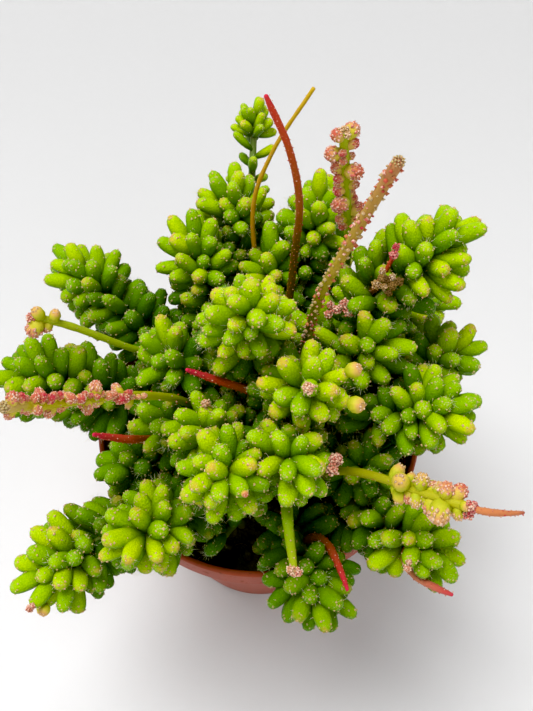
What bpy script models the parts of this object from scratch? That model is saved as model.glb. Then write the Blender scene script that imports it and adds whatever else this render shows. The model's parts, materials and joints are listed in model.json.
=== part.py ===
"""A potted mistletoe cactus (rhipsalis), modelled piece by piece.

A turned nursery pot holds the soil, and the soil holds the plant: leafy stems
set with short plump segments, bare stems that carry buds, and thin young
shoots. The origin is the middle of the pot's flat base, +Z is up, -Y is the
front, and every length is in metres.
"""
import math
import random
from dataclasses import dataclass

import bmesh
import bpy
import numpy as np
from mathutils import Matrix, Vector
from mathutils.geometry import interpolate_bezier

# Pot
POT_HEIGHT = 0.092
RIM_RADIUS = 0.0525
RIM_THICKNESS = 0.0017
RIM_BAND = 0.0098
WALL = 0.0012
FOOT_RADIUS = 0.0315
FLOOR_TOP = 0.0027
FOOT_RECESS = 0.0012
FOOT_RING = 0.0050
CENTRE_DISC = 0.0085
DRAIN_RADIUS = 0.0036
DRAIN_CIRCLE = 0.0178
DRAIN_COUNT = 8
POT_SIDES = 28

# Soil
SOIL_TOP = 0.0800
SOIL_CROWN = 0.0012
SOIL_CLEARANCE = 0.0004
STEM_SUNK = 0.0140
HOLE_CLEARANCE = 0.0004

# Plant
STEM_RADIUS = 0.0015
STEM_TIP_RADIUS = 0.0011
STEM_STATIONS = 6
SEGMENT_LENGTH = 0.0145
SEGMENT_RADIUS = 0.0025
SEGMENT_PITCH = 0.0034
SEGMENT_SIDES = 5
NECK_SHARE = 0.30
CROWN_SHARE = 0.80
GOLDEN_TURN = math.radians(137.508)
WIDEST_LEAN = math.radians(70.0)
LEAN_REACH = 0.0070
SHOOT_GAP = 0.00035
CLEARANCE = 0.00035
OWN_SPACING = 0.86
SEED = 7

UP = Vector((0.0, 0.0, 1.0))
PLANT = "potted_rhipsalis"


@dataclass(frozen=True)
class LeafyStem:
    """A stem from its foot in the soil to its tip, with the length that is set
    with segments. At the tip it tilts from upright toward a compass angle,
    counted from +X, and `scale` sizes its segments."""

    name: str
    foot: tuple
    tip: tuple
    tilt: float
    toward: float
    leafy: float
    scale: float = 1.0


LEAFY_STEMS = (
    LeafyStem("leafy_stem_crown", (-0.003, 0.004), (-0.002, -0.004, 0.160), 12, -90, 0.052),
    LeafyStem("leafy_stem_crown_right", (0.006, -0.006), (0.013, -0.021, 0.151), 24, -60, 0.046),
    LeafyStem("leafy_stem_front", (-0.003, -0.020), (-0.009, -0.041, 0.143), 30, -104, 0.046),
    LeafyStem("leafy_stem_front_inner", (0.005, -0.016), (0.008, -0.038, 0.144), 28, -72, 0.046),
    LeafyStem("leafy_stem_right_back", (0.021, 0.007), (0.050, 0.018, 0.159), 48, 18, 0.044),
    LeafyStem("leafy_stem_right_back_inner", (0.013, 0.012), (0.035, 0.021, 0.143), 25, 60, 0.038),
    LeafyStem("leafy_stem_back_right", (0.010, 0.024), (0.020, 0.048, 0.137), 22, 65, 0.042),
    LeafyStem("leafy_stem_back_middle", (0.002, 0.018), (0.005, 0.038, 0.126), 22, 100, 0.036),
    LeafyStem("leafy_stem_back_left", (-0.010, 0.021), (-0.019, 0.042, 0.127), 36, 122, 0.040),
    LeafyStem("leafy_stem_back", (-0.003, 0.028), (-0.007, 0.060, 0.131), 34, 100, 0.036),
    LeafyStem("leafy_stem_back_young", (-0.004, 0.037), (0.000, 0.090, 0.137), 44, 86, 0.038, 0.76),
    LeafyStem("leafy_stem_left_back", (-0.024, 0.018), (-0.057, 0.041, 0.116), 70, 143, 0.044),
    LeafyStem("leafy_stem_left", (-0.030, -0.002), (-0.067, -0.001, 0.123), 72, 178, 0.048),
    LeafyStem("leafy_stem_left_middle", (-0.018, -0.009), (-0.025, -0.016, 0.122), 28, -165, 0.034),
    LeafyStem("leafy_stem_left_front", (-0.026, -0.014), (-0.039, -0.023, 0.108), 50, -150, 0.032),
    LeafyStem("leafy_stem_left_inner", (-0.013, 0.002), (-0.025, 0.000, 0.132), 28, 165, 0.040),
    LeafyStem("leafy_stem_centre_left", (-0.008, -0.012), (-0.014, -0.024, 0.131), 20, -115, 0.040),
    LeafyStem("leafy_stem_front_left", (-0.017, -0.026), (-0.032, -0.050, 0.122), 36, -120, 0.040),
    LeafyStem("leafy_stem_front_left_outer", (-0.026, -0.025), (-0.058, -0.055, 0.107), 74, -136, 0.042),
    LeafyStem("leafy_stem_front_low", (-0.006, -0.032), (-0.011, -0.041, 0.096), 35, -105, 0.014),
    LeafyStem("leafy_stem_front_over_rim", (0.010, -0.034), (0.015, -0.061, 0.105), 80, -77, 0.034),
    LeafyStem("leafy_stem_front_right", (0.023, -0.027), (0.045, -0.053, 0.115), 46, -52, 0.040),
    LeafyStem("leafy_stem_front_right_low", (0.018, -0.015), (0.033, -0.027, 0.112), 36, -38, 0.030),
    LeafyStem("leafy_stem_right", (0.025, -0.007), (0.050, -0.019, 0.133), 50, -20, 0.044),
    LeafyStem("leafy_stem_right_outer", (0.033, 0.002), (0.057, 0.004, 0.124), 52, 8, 0.034),
    LeafyStem("leafy_stem_right_inner", (0.016, -0.001), (0.032, 0.000, 0.138), 26, -8, 0.036),
    LeafyStem("leafy_stem_centre_back", (0.006, 0.006), (0.022, 0.011, 0.127), 14, 40, 0.030),
    LeafyStem("leafy_stem_back_over_rim", (-0.008, 0.036), (-0.009, 0.070, 0.099), 84, 96, 0.034),
    LeafyStem("leafy_stem_back_right_low", (0.014, 0.033), (0.022, 0.063, 0.104), 70, 70, 0.032),
    LeafyStem("leafy_stem_right_back_low", (0.028, 0.020), (0.056, 0.038, 0.107), 66, 34, 0.036),
)


@dataclass(frozen=True)
class TallShoot:
    """A bare stem from its foot in the soil through the points of its route,
    with its radius at foot and tip, and how much of its end carries buds."""

    name: str
    route: tuple
    foot_radius: float
    tip_radius: float
    colour: tuple
    budded: float = 0.0
    bud_radius: float = 0.0015


CRIMSON_BROWN = (0.46, 0.07, 0.05, 1.0)
YELLOW_BROWN = (0.52, 0.36, 0.06, 1.0)
FRESH_GREEN = (0.28, 0.42, 0.04, 1.0)
BROWNISH_GREEN = (0.36, 0.30, 0.06, 1.0)

TALL_SHOOTS = (
    TallShoot(
        "red_shoot_tall",
        ((0.007, 0.013), (0.009, 0.020, 0.112), (0.011, 0.027, 0.142), (0.012, 0.028, 0.166),
         (0.009, 0.031, 0.184), (0.003, 0.035, 0.199)),
        0.0011, 0.0008, CRIMSON_BROWN),
    TallShoot(
        "thin_shoot_back",
        ((0.002, 0.027), (0.002, 0.032, 0.104), (-0.001, 0.047, 0.138), (0.005, 0.056, 0.156),
         (0.017, 0.063, 0.175)),
        0.0008, 0.0006, YELLOW_BROWN),
    TallShoot(
        "budded_stem_back",
        ((0.016, 0.020), (0.026, 0.030, 0.118), (0.027, 0.030, 0.145), (0.025, 0.032, 0.166),
         (0.023, 0.035, 0.186)),
        0.0012, 0.0013, FRESH_GREEN, 0.034, 0.0020),
    TallShoot(
        "thick_stem_right",
        ((0.008, 0.000), (0.012, 0.001, 0.118), (0.016, 0.001, 0.158), (0.022, 0.003, 0.178),
         (0.027, 0.003, 0.196), (0.031, 0.002, 0.211)),
        0.0014, 0.0018, BROWNISH_GREEN),
    TallShoot(
        "budded_stem_left",
        ((-0.013, -0.006), (-0.020, -0.011, 0.124), (-0.034, -0.021, 0.149), (-0.048, -0.035, 0.172),
         (-0.055, -0.042, 0.184)),
        0.0013, 0.0016, BROWNISH_GREEN, 0.052, 0.0013),
    TallShoot(
        "budded_stem_left_back",
        ((-0.019, 0.009), (-0.026, 0.008, 0.114), (-0.040, 0.006, 0.130), (-0.052, 0.006, 0.140),
         (-0.062, 0.006, 0.146)),
        0.0010, 0.0011, FRESH_GREEN, 0.007, 0.0019),
    TallShoot(
        "budded_stem_right",
        ((0.012, -0.020), (0.017, -0.028, 0.112), (0.027, -0.038, 0.135), (0.040, -0.048, 0.146),
         (0.051, -0.054, 0.150)),
        0.0013, 0.0015, FRESH_GREEN, 0.024, 0.0021),
)


@dataclass(frozen=True)
class SideShoot:
    """A thin young shoot that springs from the side of another stem, `back`
    metres behind that stem's tip, and runs to its own end."""

    name: str
    parent: str
    back: float
    end: tuple
    radius: float
    colour: tuple


SIDE_SHOOTS = (
    SideShoot("red_shoot_middle", "leafy_stem_crown_right", 0.022, (-0.019, -0.013, 0.148), 0.0010,
              CRIMSON_BROWN),
    SideShoot("red_shoot_left", "leafy_stem_left_middle", 0.006, (-0.046, -0.023, 0.130), 0.0010,
              CRIMSON_BROWN),
    SideShoot("red_shoot_right", "budded_stem_right", 0.0, (0.065, -0.054, 0.146), 0.0009,
              CRIMSON_BROWN),
    SideShoot("red_shoot_front", "leafy_stem_front_over_rim", 0.016, (0.023, -0.064, 0.117), 0.0009,
              CRIMSON_BROWN),
    SideShoot("red_shoot_front_right", "leafy_stem_front_right", 0.006, (0.050, -0.067, 0.121), 0.0009,
              CRIMSON_BROWN),
    SideShoot("pale_shoot_front", "leafy_stem_front_inner", 0.008, (0.008, -0.066, 0.141), 0.0011,
              FRESH_GREEN),
    SideShoot("red_shoot_right_back", "leafy_stem_right_back_inner", 0.004, (0.039, 0.018, 0.161), 0.0008,
              CRIMSON_BROWN),
)


class Route:
    """The centre line of a stem, read by the distance back from its tip."""

    def __init__(self, points):
        self.points = [Vector(point) for point in points]
        steps = [(b - a).length for a, b in zip(self.points, self.points[1:])]
        self.behind = [sum(steps[index:]) for index in range(len(self.points))]

    @property
    def length(self):
        return self.behind[0]

    def at(self, back):
        """Point and forward direction `back` metres behind the tip."""
        for index in range(len(self.points) - 2, -1, -1):
            if back <= self.behind[index] or index == 0:
                start, end = self.points[index], self.points[index + 1]
                along = (end - start).normalized()
                return end - along * (back - self.behind[index + 1]), along


class Crowd:
    """Balls along everything that stands, by which a new piece is fitted in.

    Pieces of different owners keep clear of each other. Pieces of one owner may
    meet near their roots, and their outer parts, the `spaced` balls, may only
    just press together."""

    def __init__(self):
        self.centres = np.empty((0, 3))
        self.radii = np.empty(0)
        self.owners = np.empty(0, dtype=object)
        self.spaced = np.empty(0, dtype=bool)

    def add(self, owner, centres, radii, spaced):
        self.centres = np.vstack((self.centres, centres))
        self.radii = np.append(self.radii, radii)
        self.owners = np.append(self.owners, [owner] * len(radii))
        self.spaced = np.append(self.spaced, spaced)

    def is_clear(self, owner, centres, radii, spaced):
        middle = centres.mean(axis=0)
        reach = np.linalg.norm(centres - middle, axis=1).max() + radii.max() + 0.004
        close = np.linalg.norm(self.centres - middle, axis=1) < reach
        apart = np.linalg.norm(self.centres[close][:, None] - centres[None], axis=2)
        touch = self.radii[close][:, None] + radii[None]
        own = (self.owners[close] == owner)[:, None]
        pressing = self.spaced[close][:, None] & spaced[None]
        needed = np.where(own, np.where(pressing, OWN_SPACING * touch, 0.0), touch + CLEARANCE)
        return bool(np.all(apart > needed))


def inner_wall_radius(height):
    """Radius of the pot's inner wall at a height under the rim band."""
    foot = FOOT_RADIUS - WALL
    shoulder = RIM_RADIUS - 0.0009 - RIM_THICKNESS - WALL
    rise = (height - FLOOR_TOP) / (POT_HEIGHT - RIM_BAND - FLOOR_TOP)
    return foot + (shoulder - foot) * rise


def clear_of_pot(centres, radii):
    """Whether balls keep clear of the pot's wall, its rim band and the soil."""
    out = np.hypot(centres[:, 0], centres[:, 1])
    spots = np.column_stack((out, centres[:, 2]))
    shoulder = POT_HEIGHT - RIM_BAND
    walls = (
        ((FOOT_RADIUS - WALL / 2, 0.0), (inner_wall_radius(shoulder) + WALL / 2, shoulder), WALL),
        ((RIM_RADIUS - RIM_THICKNESS, shoulder - WALL), (RIM_RADIUS - RIM_THICKNESS, POT_HEIGHT - 0.001),
         2 * RIM_THICKNESS),
    )
    for start, end, thickness in walls:
        start, run = np.array(start), np.array(end) - np.array(start)
        share = np.clip((spots - start) @ run / (run @ run), 0.0, 1.0)
        apart = np.linalg.norm(spots - start - share[:, None] * run, axis=1)
        if np.any(apart < radii + thickness / 2 + CLEARANCE):
            return False
    over_soil = out < RIM_RADIUS
    soil = SOIL_TOP + SOIL_CROWN + CLEARANCE
    return not np.any(over_soil & (centres[:, 2] - radii < soil))


def direction(tilt, toward):
    """Unit vector `tilt` degrees off upright toward a compass angle."""
    tilt, toward = math.radians(tilt), math.radians(toward)
    side = math.sin(tilt)
    return Vector((side * math.cos(toward), side * math.sin(toward), math.cos(tilt)))


def leafy_route(stem):
    """Upright from its hole in the soil, then in one bend to the tip."""
    knee = Vector((*stem.foot, SOIL_TOP + 0.002))
    tip = Vector(stem.tip)
    reach = (tip - knee).length
    bend = interpolate_bezier(
        knee, knee + UP * 0.45 * reach, tip - direction(stem.tilt, stem.toward) * 0.4 * reach,
        tip, STEM_STATIONS)
    return Route([knee - UP * (STEM_SUNK + 0.002)] + bend)


def smooth_through(points, steps):
    """Points of a smooth curve through the given ones."""
    ends = [2 * points[0] - points[1]] + points + [2 * points[-1] - points[-2]]
    smooth = [points[0]]
    for a, b, c, d in zip(ends, ends[1:], ends[2:], ends[3:]):
        smooth += interpolate_bezier(b, b + (c - a) / 6, c - (d - b) / 6, c, steps + 1)[1:]
    return smooth


def tall_route(shoot):
    """Upright from its hole in the soil, then through the points of its route."""
    knee = Vector((*shoot.route[0], SOIL_TOP + 0.002))
    above = [Vector(point) for point in shoot.route[1:]]
    return Route([knee - UP * (STEM_SUNK + 0.002)] + smooth_through([knee] + above, 2))


def side_route(shoot, parent, parent_radius):
    """From just off the parent's skin to the shoot's own end, lightly arched."""
    joint, along = parent.at(shoot.back)
    end = Vector(shoot.end)
    away = end - joint
    if shoot.back > 0.0:
        away -= along * away.dot(along)
        start = joint + away.normalized() * (parent_radius + SHOOT_GAP)
    else:
        start = joint + along * SHOOT_GAP
        away = along
    reach = (end - start).length
    rise = start + away.normalized() * 0.35 * reach
    fall = end - (end - rise).normalized() * 0.3 * reach
    return Route(interpolate_bezier(start, rise, fall, end, 5))


def ball_chain(route, radius):
    """Balls along a whole route, closer together than they are wide."""
    count = max(2, int(route.length / 0.0012))
    centres = np.array([route.at(route.length * index / count)[0] for index in range(count + 1)])
    return centres, np.full(count + 1, radius), np.zeros(count + 1, dtype=bool)


@dataclass(frozen=True)
class Segment:
    """A plump body from its root, on the centre line, out to its tip."""

    root: Vector
    along: Vector
    length: float
    radius: float


def plumpness(share):
    """Width of a segment, as a share of its widest, along its length."""
    return np.minimum(1.0, (5.5 * share * (1.0 - share)) ** 0.5)


def segment_balls(segment):
    shares = np.linspace(0.22, 0.95, 9)
    centres = np.array([segment.root + segment.along * segment.length * share for share in shares])
    return centres, segment.radius * plumpness(shares), shares > 0.45


def leaning(along, turn, lean):
    """Direction that leans off the centre line, turned round it."""
    across = along.orthogonal().normalized()
    around = along.cross(across)
    side = across * math.cos(turn) + around * math.sin(turn)
    return along * math.cos(lean) + side * math.sin(lean)


# Turn, lean and length changes tried in order where a segment would not fit
NUDGES = [(0.0, 0.0, 1.0)] + [
    (turn * side, lean, size)
    for size in (1.0, 0.86, 0.74)
    for turn in (0.0, 0.3, 0.6, 0.9)
    for lean in (0.0, -0.25, 0.25)
    for side in (1, -1)
]


def fitted(owner, point, along, turn, lean, length, radius, crowd):
    """The first nudged form of a segment that touches nothing else, if any."""
    for more_turn, more_lean, size in NUDGES:
        aim = leaning(along, turn + more_turn, max(0.05, lean + more_lean))
        segment = Segment(point, aim, length * size, radius * math.sqrt(size))
        balls = segment_balls(segment)
        if clear_of_pot(*balls[:2]) and crowd.is_clear(owner, *balls):
            crowd.add(owner, *balls)
            return segment
    return None


def grow_segments(stem, route, crowd):
    """Segments by the golden angle, from the stem's tip back down its leafy end."""
    rng = random.Random(f"{SEED} {stem.name}")
    first_turn = rng.uniform(0.0, math.tau)
    segments = []
    for index in range(int(stem.leafy / (SEGMENT_PITCH * stem.scale))):
        back = SEGMENT_PITCH * stem.scale * (index + 0.2)
        point, along = route.at(back)
        turn = first_turn + index * GOLDEN_TURN + rng.uniform(-0.15, 0.15)
        lean = WIDEST_LEAN * (1.0 - math.exp(-(back + 0.0008) / LEAN_REACH)) + rng.uniform(-0.1, 0.1)
        length = SEGMENT_LENGTH * stem.scale * rng.uniform(0.86, 1.12)
        radius = SEGMENT_RADIUS * stem.scale * rng.uniform(0.92, 1.06)
        segment = fitted(stem.name, point, along, turn, lean, length, radius, crowd)
        if segment:
            segments.append(segment)
    return segments


def grow_buds(shoot, route, crowd):
    """Small buds by the golden angle along the budded end of a bare stem."""
    rng = random.Random(f"{SEED} {shoot.name}")
    pitch = 2.0 * shoot.bud_radius + 0.0012
    buds = []
    for index in range(int(shoot.budded / pitch)):
        back = pitch * (index + 0.4)
        point, along = route.at(back)
        radius = shoot.bud_radius * rng.uniform(0.8, 1.15)
        length = shoot.foot_radius + 1.9 * radius
        bud = fitted(shoot.name, point, along, index * GOLDEN_TURN, 1.25, length, radius, crowd)
        if bud:
            buds.append(bud)
    return buds


def new_material(name, colour, roughness):
    material = bpy.data.materials.new(name)
    material.use_nodes = True
    shader = material.node_tree.nodes["Principled BSDF"]
    shader.inputs["Base Color"].default_value = colour
    shader.inputs["Roughness"].default_value = roughness
    shader.inputs["Metallic"].default_value = 0.0
    material.diffuse_color = colour
    return material


def new_collection(name):
    collection = bpy.data.collections.new(name)
    bpy.context.scene.collection.children.link(collection)
    return collection


def new_object(name, mesh, collection):
    item = bpy.data.objects.new(name, mesh)
    collection.objects.link(item)
    return item


def evaluated_mesh(item):
    """The object's mesh as its modifiers leave it."""
    graph = bpy.context.evaluated_depsgraph_get()
    return bpy.data.meshes.new_from_object(item.evaluated_get(graph))


def turned(name, profile, collection):
    """A closed body turned round Z from a half section of (radius, height)."""
    mesh = bpy.data.meshes.new(name)
    points = [(radius, 0.0, height) for radius, height in profile]
    mesh.from_pydata(points, [(index, index + 1) for index in range(len(points) - 1)], [])
    item = new_object(name, mesh, collection)
    screw = item.modifiers.new("turn", "SCREW")
    screw.steps = screw.render_steps = POT_SIDES
    screw.use_merge_vertices = True
    screw.merge_threshold = 0.00001
    screw.use_smooth_shade = True
    return item


def cutter(name, radius, sides, bottom, top, place, collection):
    """An upright prism that cuts a hole, hidden from view."""
    form = bmesh.new()
    bmesh.ops.create_cone(form, cap_ends=True, segments=sides, radius1=radius, radius2=radius,
                          depth=top - bottom)
    mesh = bpy.data.meshes.new(name)
    form.to_mesh(mesh)
    form.free()
    item = new_object(name, mesh, collection)
    item.location = (*place, (top + bottom) / 2)
    item.hide_render = True
    item.display_type = "WIRE"
    return item


def cut_by(item, collection):
    cut = item.modifiers.new("cut", "BOOLEAN")
    cut.operation = "DIFFERENCE"
    cut.operand_type = "COLLECTION"
    cut.collection = collection
    cut.solver = "EXACT"


def pot_profile():
    """Half section: over the floor, up the inner wall, round the rim, down outside."""
    shoulder = POT_HEIGHT - RIM_BAND
    lip = RIM_RADIUS - RIM_THICKNESS
    return [
        (0.0, FLOOR_TOP),
        (FOOT_RADIUS - WALL, FLOOR_TOP),
        (inner_wall_radius(shoulder - WALL), shoulder - WALL),
        (lip - 0.0012, shoulder + 0.0006),
        (lip, POT_HEIGHT),
        (RIM_RADIUS - 0.0006, POT_HEIGHT),
        (RIM_RADIUS, POT_HEIGHT - 0.0007),
        (RIM_RADIUS - 0.0004, shoulder + 0.0005),
        (RIM_RADIUS - 0.0010, shoulder - 0.0004),
        (inner_wall_radius(shoulder) + WALL, shoulder - 0.0008),
        (FOOT_RADIUS + 0.0004, 0.0010),
        (FOOT_RADIUS - 0.0004, 0.0),
        (FOOT_RADIUS - FOOT_RING, 0.0),
        (FOOT_RADIUS - FOOT_RING - 0.0008, FOOT_RECESS),
        (CENTRE_DISC + 0.0008, FOOT_RECESS),
        (CENTRE_DISC, 0.0),
        (0.0, 0.0),
    ]


def make_pot(parts):
    pot = turned("pot", pot_profile(), parts)
    drains = new_collection("drain_cutters")
    for index in range(DRAIN_COUNT):
        angle = math.tau * (index + 0.5) / DRAIN_COUNT
        place = (DRAIN_CIRCLE * math.cos(angle), DRAIN_CIRCLE * math.sin(angle))
        cutter(f"drain_cutter_{index}", DRAIN_RADIUS, 6, -0.002, FLOOR_TOP + 0.002, place, drains)
    cut_by(pot, drains)
    pot.data.materials.append(new_material("terracotta_plastic", (0.36, 0.09, 0.05, 1.0), 0.5))


def make_soil(parts, feet):
    """The root ball with one plain upright hole for each stem's foot."""
    bottom = FLOOR_TOP + SOIL_CLEARANCE
    edge = SOIL_TOP - 0.0010
    soil = turned("soil", [
        (0.0, SOIL_TOP + SOIL_CROWN),
        (inner_wall_radius(edge) - SOIL_CLEARANCE, edge),
        (inner_wall_radius(bottom) - SOIL_CLEARANCE, bottom),
        (0.0, bottom),
    ], parts)
    holes = new_collection("stem_hole_cutters")
    for index, (place, radius) in enumerate(feet):
        hole_radius = (radius + HOLE_CLEARANCE) / math.cos(math.pi / 6)
        hole_bottom = SOIL_TOP - STEM_SUNK - HOLE_CLEARANCE
        cutter(f"stem_hole_{index}", hole_radius, 6, hole_bottom, SOIL_TOP + 0.006, place, holes)
    cut_by(soil, holes)
    soil.data.materials.append(new_material("peat_soil", (0.018, 0.012, 0.008, 1.0), 0.95))


def make_tube(name, route, foot_radius, tip_radius, resolution, collection):
    """A tapered round bar along a route, as one closed mesh with a blunt tip."""
    curve = bpy.data.curves.new(name, "CURVE")
    curve.dimensions = "3D"
    curve.bevel_depth = 1.0
    curve.bevel_resolution = resolution
    curve.render_resolution_u = 0
    curve.use_fill_caps = True
    spline = curve.splines.new("POLY")
    spline.points.add(len(route.points) - 1)
    for knot, point, behind in zip(spline.points, route.points, route.behind):
        share = min(1.0, behind / (0.6 * route.length))
        knot.co = (*point, 1.0)
        knot.radius = tip_radius + (foot_radius - tip_radius) * share
    guide = new_object(name, curve, collection)
    mesh = evaluated_mesh(guide)
    bpy.data.objects.remove(guide)
    form = bmesh.new()
    form.from_mesh(mesh)
    bmesh.ops.remove_doubles(form, verts=form.verts, dist=0.00001)
    form.to_mesh(mesh)
    form.free()
    return new_object(name, mesh, collection)


def unit_segment():
    """A plump body one unit long and one unit in radius, with its root at zero."""
    form = bmesh.new()
    bmesh.ops.create_uvsphere(form, u_segments=SEGMENT_SIDES, v_segments=3, radius=1.0)
    for vertex in form.verts:
        out = math.hypot(vertex.co.x, vertex.co.y)
        if out > 0.01:
            vertex.co.x /= out
            vertex.co.y /= out
            vertex.co.z = NECK_SHARE if vertex.co.z < 0.0 else CROWN_SHARE
        else:
            vertex.co.z = 0.0 if vertex.co.z < 0.0 else 1.0
    mesh = bpy.data.meshes.new("unit_segment")
    form.to_mesh(mesh)
    form.free()
    return mesh


def is_one_closed_body(mesh):
    """Whether every edge has two faces and all faces hang together."""
    form = bmesh.new()
    form.from_mesh(mesh)
    form.verts.ensure_lookup_table()
    closed = all(len(edge.link_faces) == 2 for edge in form.edges)
    reached, front = set(), list(form.verts[:1])
    while front:
        vertex = front.pop()
        if vertex.index not in reached:
            reached.add(vertex.index)
            front += [edge.other_vert(vertex) for edge in vertex.link_edges]
    whole = len(reached) == len(form.verts)
    form.free()
    return closed and whole


def fuse(bar, segments, form):
    """Joins the segments to their bar in one Boolean union, and applies it."""
    if not segments:
        return
    growth = new_collection(f"{bar.name}_growth")
    for index, segment in enumerate(segments):
        piece = new_object(f"{bar.name}_{index}", form, growth)
        turn = segment.along.to_track_quat("Z", "Y").to_matrix().to_4x4()
        size = Matrix.Diagonal((segment.radius, segment.radius, segment.length, 1.0))
        piece.matrix_world = Matrix.Translation(segment.root) @ turn @ size
    join = bar.modifiers.new("join", "BOOLEAN")
    join.operation = "UNION"
    join.operand_type = "COLLECTION"
    join.collection = growth
    for solver in ("EXACT", "MANIFOLD"):
        join.solver = solver
        bpy.context.view_layer.update()
        joined = evaluated_mesh(bar)
        if is_one_closed_body(joined):
            break
    bar.modifiers.clear()
    bar.data = joined
    for piece in list(growth.objects):
        bpy.data.objects.remove(piece)
    bpy.data.collections.remove(growth)


def finish(item, material):
    item.data.materials.clear()
    item.data.materials.append(material)
    item.data.shade_smooth()
    item.data.set_sharp_from_angle(angle=math.radians(50.0))


def all_routes():
    """Centre lines of every stem and shoot by name."""
    routes = {stem.name: leafy_route(stem) for stem in LEAFY_STEMS}
    routes.update({shoot.name: tall_route(shoot) for shoot in TALL_SHOOTS})
    radii = {shoot.name: shoot.tip_radius for shoot in TALL_SHOOTS}
    for shoot in SIDE_SHOOTS:
        parent_radius = radii.get(shoot.parent, STEM_RADIUS)
        routes[shoot.name] = side_route(shoot, routes[shoot.parent], parent_radius)
    return routes


def bar_crowd(routes):
    """The crowd of bare stems and shoots, before anything grows on them."""
    crowd = Crowd()
    thickest = {shoot.name: max(shoot.foot_radius, shoot.tip_radius) for shoot in TALL_SHOOTS}
    thickest.update({shoot.name: shoot.radius for shoot in SIDE_SHOOTS})
    for name, route in routes.items():
        crowd.add(name, *ball_chain(route, thickest.get(name, STEM_RADIUS)))
    return crowd


def make_plant(parts):
    routes = all_routes()
    crowd = bar_crowd(routes)
    form = unit_segment()
    leaf_green = new_material("segment_green", (0.20, 0.36, 0.02, 1.0), 0.4)
    for shoot in TALL_SHOOTS:
        buds = grow_buds(shoot, routes[shoot.name], crowd)
        bar = make_tube(shoot.name, routes[shoot.name], shoot.foot_radius, shoot.tip_radius, 1, parts)
        fuse(bar, buds, form)
        finish(bar, new_material(f"{shoot.name}_skin", shoot.colour, 0.45))
    for shoot in SIDE_SHOOTS:
        bar = make_tube(shoot.name, routes[shoot.name], shoot.radius, shoot.radius * 0.6, 1, parts)
        finish(bar, new_material(f"{shoot.name}_skin", shoot.colour, 0.4))
    for stem in LEAFY_STEMS:
        segments = grow_segments(stem, routes[stem.name], crowd)
        bar = make_tube(stem.name, routes[stem.name], STEM_RADIUS, STEM_TIP_RADIUS, 0, parts)
        fuse(bar, segments, form)
        finish(bar, leaf_green)
    bpy.data.meshes.remove(form)


def main():
    for item in list(bpy.data.objects):
        bpy.data.objects.remove(item)
    parts = new_collection(PLANT)
    make_pot(parts)
    feet = [(stem.foot, STEM_RADIUS) for stem in LEAFY_STEMS]
    feet += [(shoot.route[0], shoot.foot_radius) for shoot in TALL_SHOOTS]
    make_soil(parts, feet)
    make_plant(parts)


main()
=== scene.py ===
# %% [markdown]
# A potted rhipsalis, dressed piece by piece.
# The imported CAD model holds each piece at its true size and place: a turned nursery pot, the soil in
# it, thirty leafy stems, seven tall bare shoots and seven thin side shoots. Their forms are right but
# plain. This lesson builds a finer body over each of them, from the same rows of numbers and the same
# growth rule, and then gives every piece a procedural finish.

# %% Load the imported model
import json
import math
import random
from dataclasses import dataclass

import bmesh
import bpy
import numpy as np
from mathutils import Matrix, Vector, noise
from mathutils.geometry import interpolate_bezier

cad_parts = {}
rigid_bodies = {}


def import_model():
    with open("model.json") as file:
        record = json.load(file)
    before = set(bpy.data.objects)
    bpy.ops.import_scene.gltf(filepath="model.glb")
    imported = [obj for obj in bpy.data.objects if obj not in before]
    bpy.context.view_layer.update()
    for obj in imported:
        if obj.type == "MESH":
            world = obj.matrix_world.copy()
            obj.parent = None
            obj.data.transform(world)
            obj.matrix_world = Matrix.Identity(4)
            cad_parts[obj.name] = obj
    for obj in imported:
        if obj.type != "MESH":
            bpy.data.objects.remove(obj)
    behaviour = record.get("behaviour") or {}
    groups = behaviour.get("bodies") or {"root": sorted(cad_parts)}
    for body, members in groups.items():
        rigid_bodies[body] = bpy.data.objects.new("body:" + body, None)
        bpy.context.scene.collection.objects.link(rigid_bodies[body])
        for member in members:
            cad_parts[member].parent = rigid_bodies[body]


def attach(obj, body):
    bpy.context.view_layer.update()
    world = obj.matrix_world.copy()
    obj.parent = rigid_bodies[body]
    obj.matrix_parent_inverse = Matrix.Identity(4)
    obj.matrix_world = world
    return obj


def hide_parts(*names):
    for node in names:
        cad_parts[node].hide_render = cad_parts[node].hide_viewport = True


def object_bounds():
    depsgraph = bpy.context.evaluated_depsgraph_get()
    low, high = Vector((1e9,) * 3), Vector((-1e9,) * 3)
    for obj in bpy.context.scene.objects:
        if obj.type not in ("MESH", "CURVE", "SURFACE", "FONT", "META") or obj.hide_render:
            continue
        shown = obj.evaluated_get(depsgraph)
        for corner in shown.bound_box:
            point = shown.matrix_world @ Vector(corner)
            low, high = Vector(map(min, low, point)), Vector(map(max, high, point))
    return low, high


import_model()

cad_low, cad_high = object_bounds()
print("CAD box in mm", [round(1000 * (high - low), 1) for low, high in zip(cad_low, cad_high)])

# %% [markdown]
# The picture looks steeply down on the plant from the front, from about 30 centimetres away. A camera
# can be placed by eye or by its numbers. Numbers are used here: the height, the distance and the
# tilt come from how the pot's round rim is seen as an ellipse.

# %% The camera
EYE = (0.0, -0.13386, 0.36048)
TILT_DOWN = math.radians(59.546)
TURN_RIGHT = math.radians(1.051)
LENS_MM = 46.294
SENSOR_MM = 36.0
SHADOW_CUT = (0.002, 0.002, 0.009)

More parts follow.
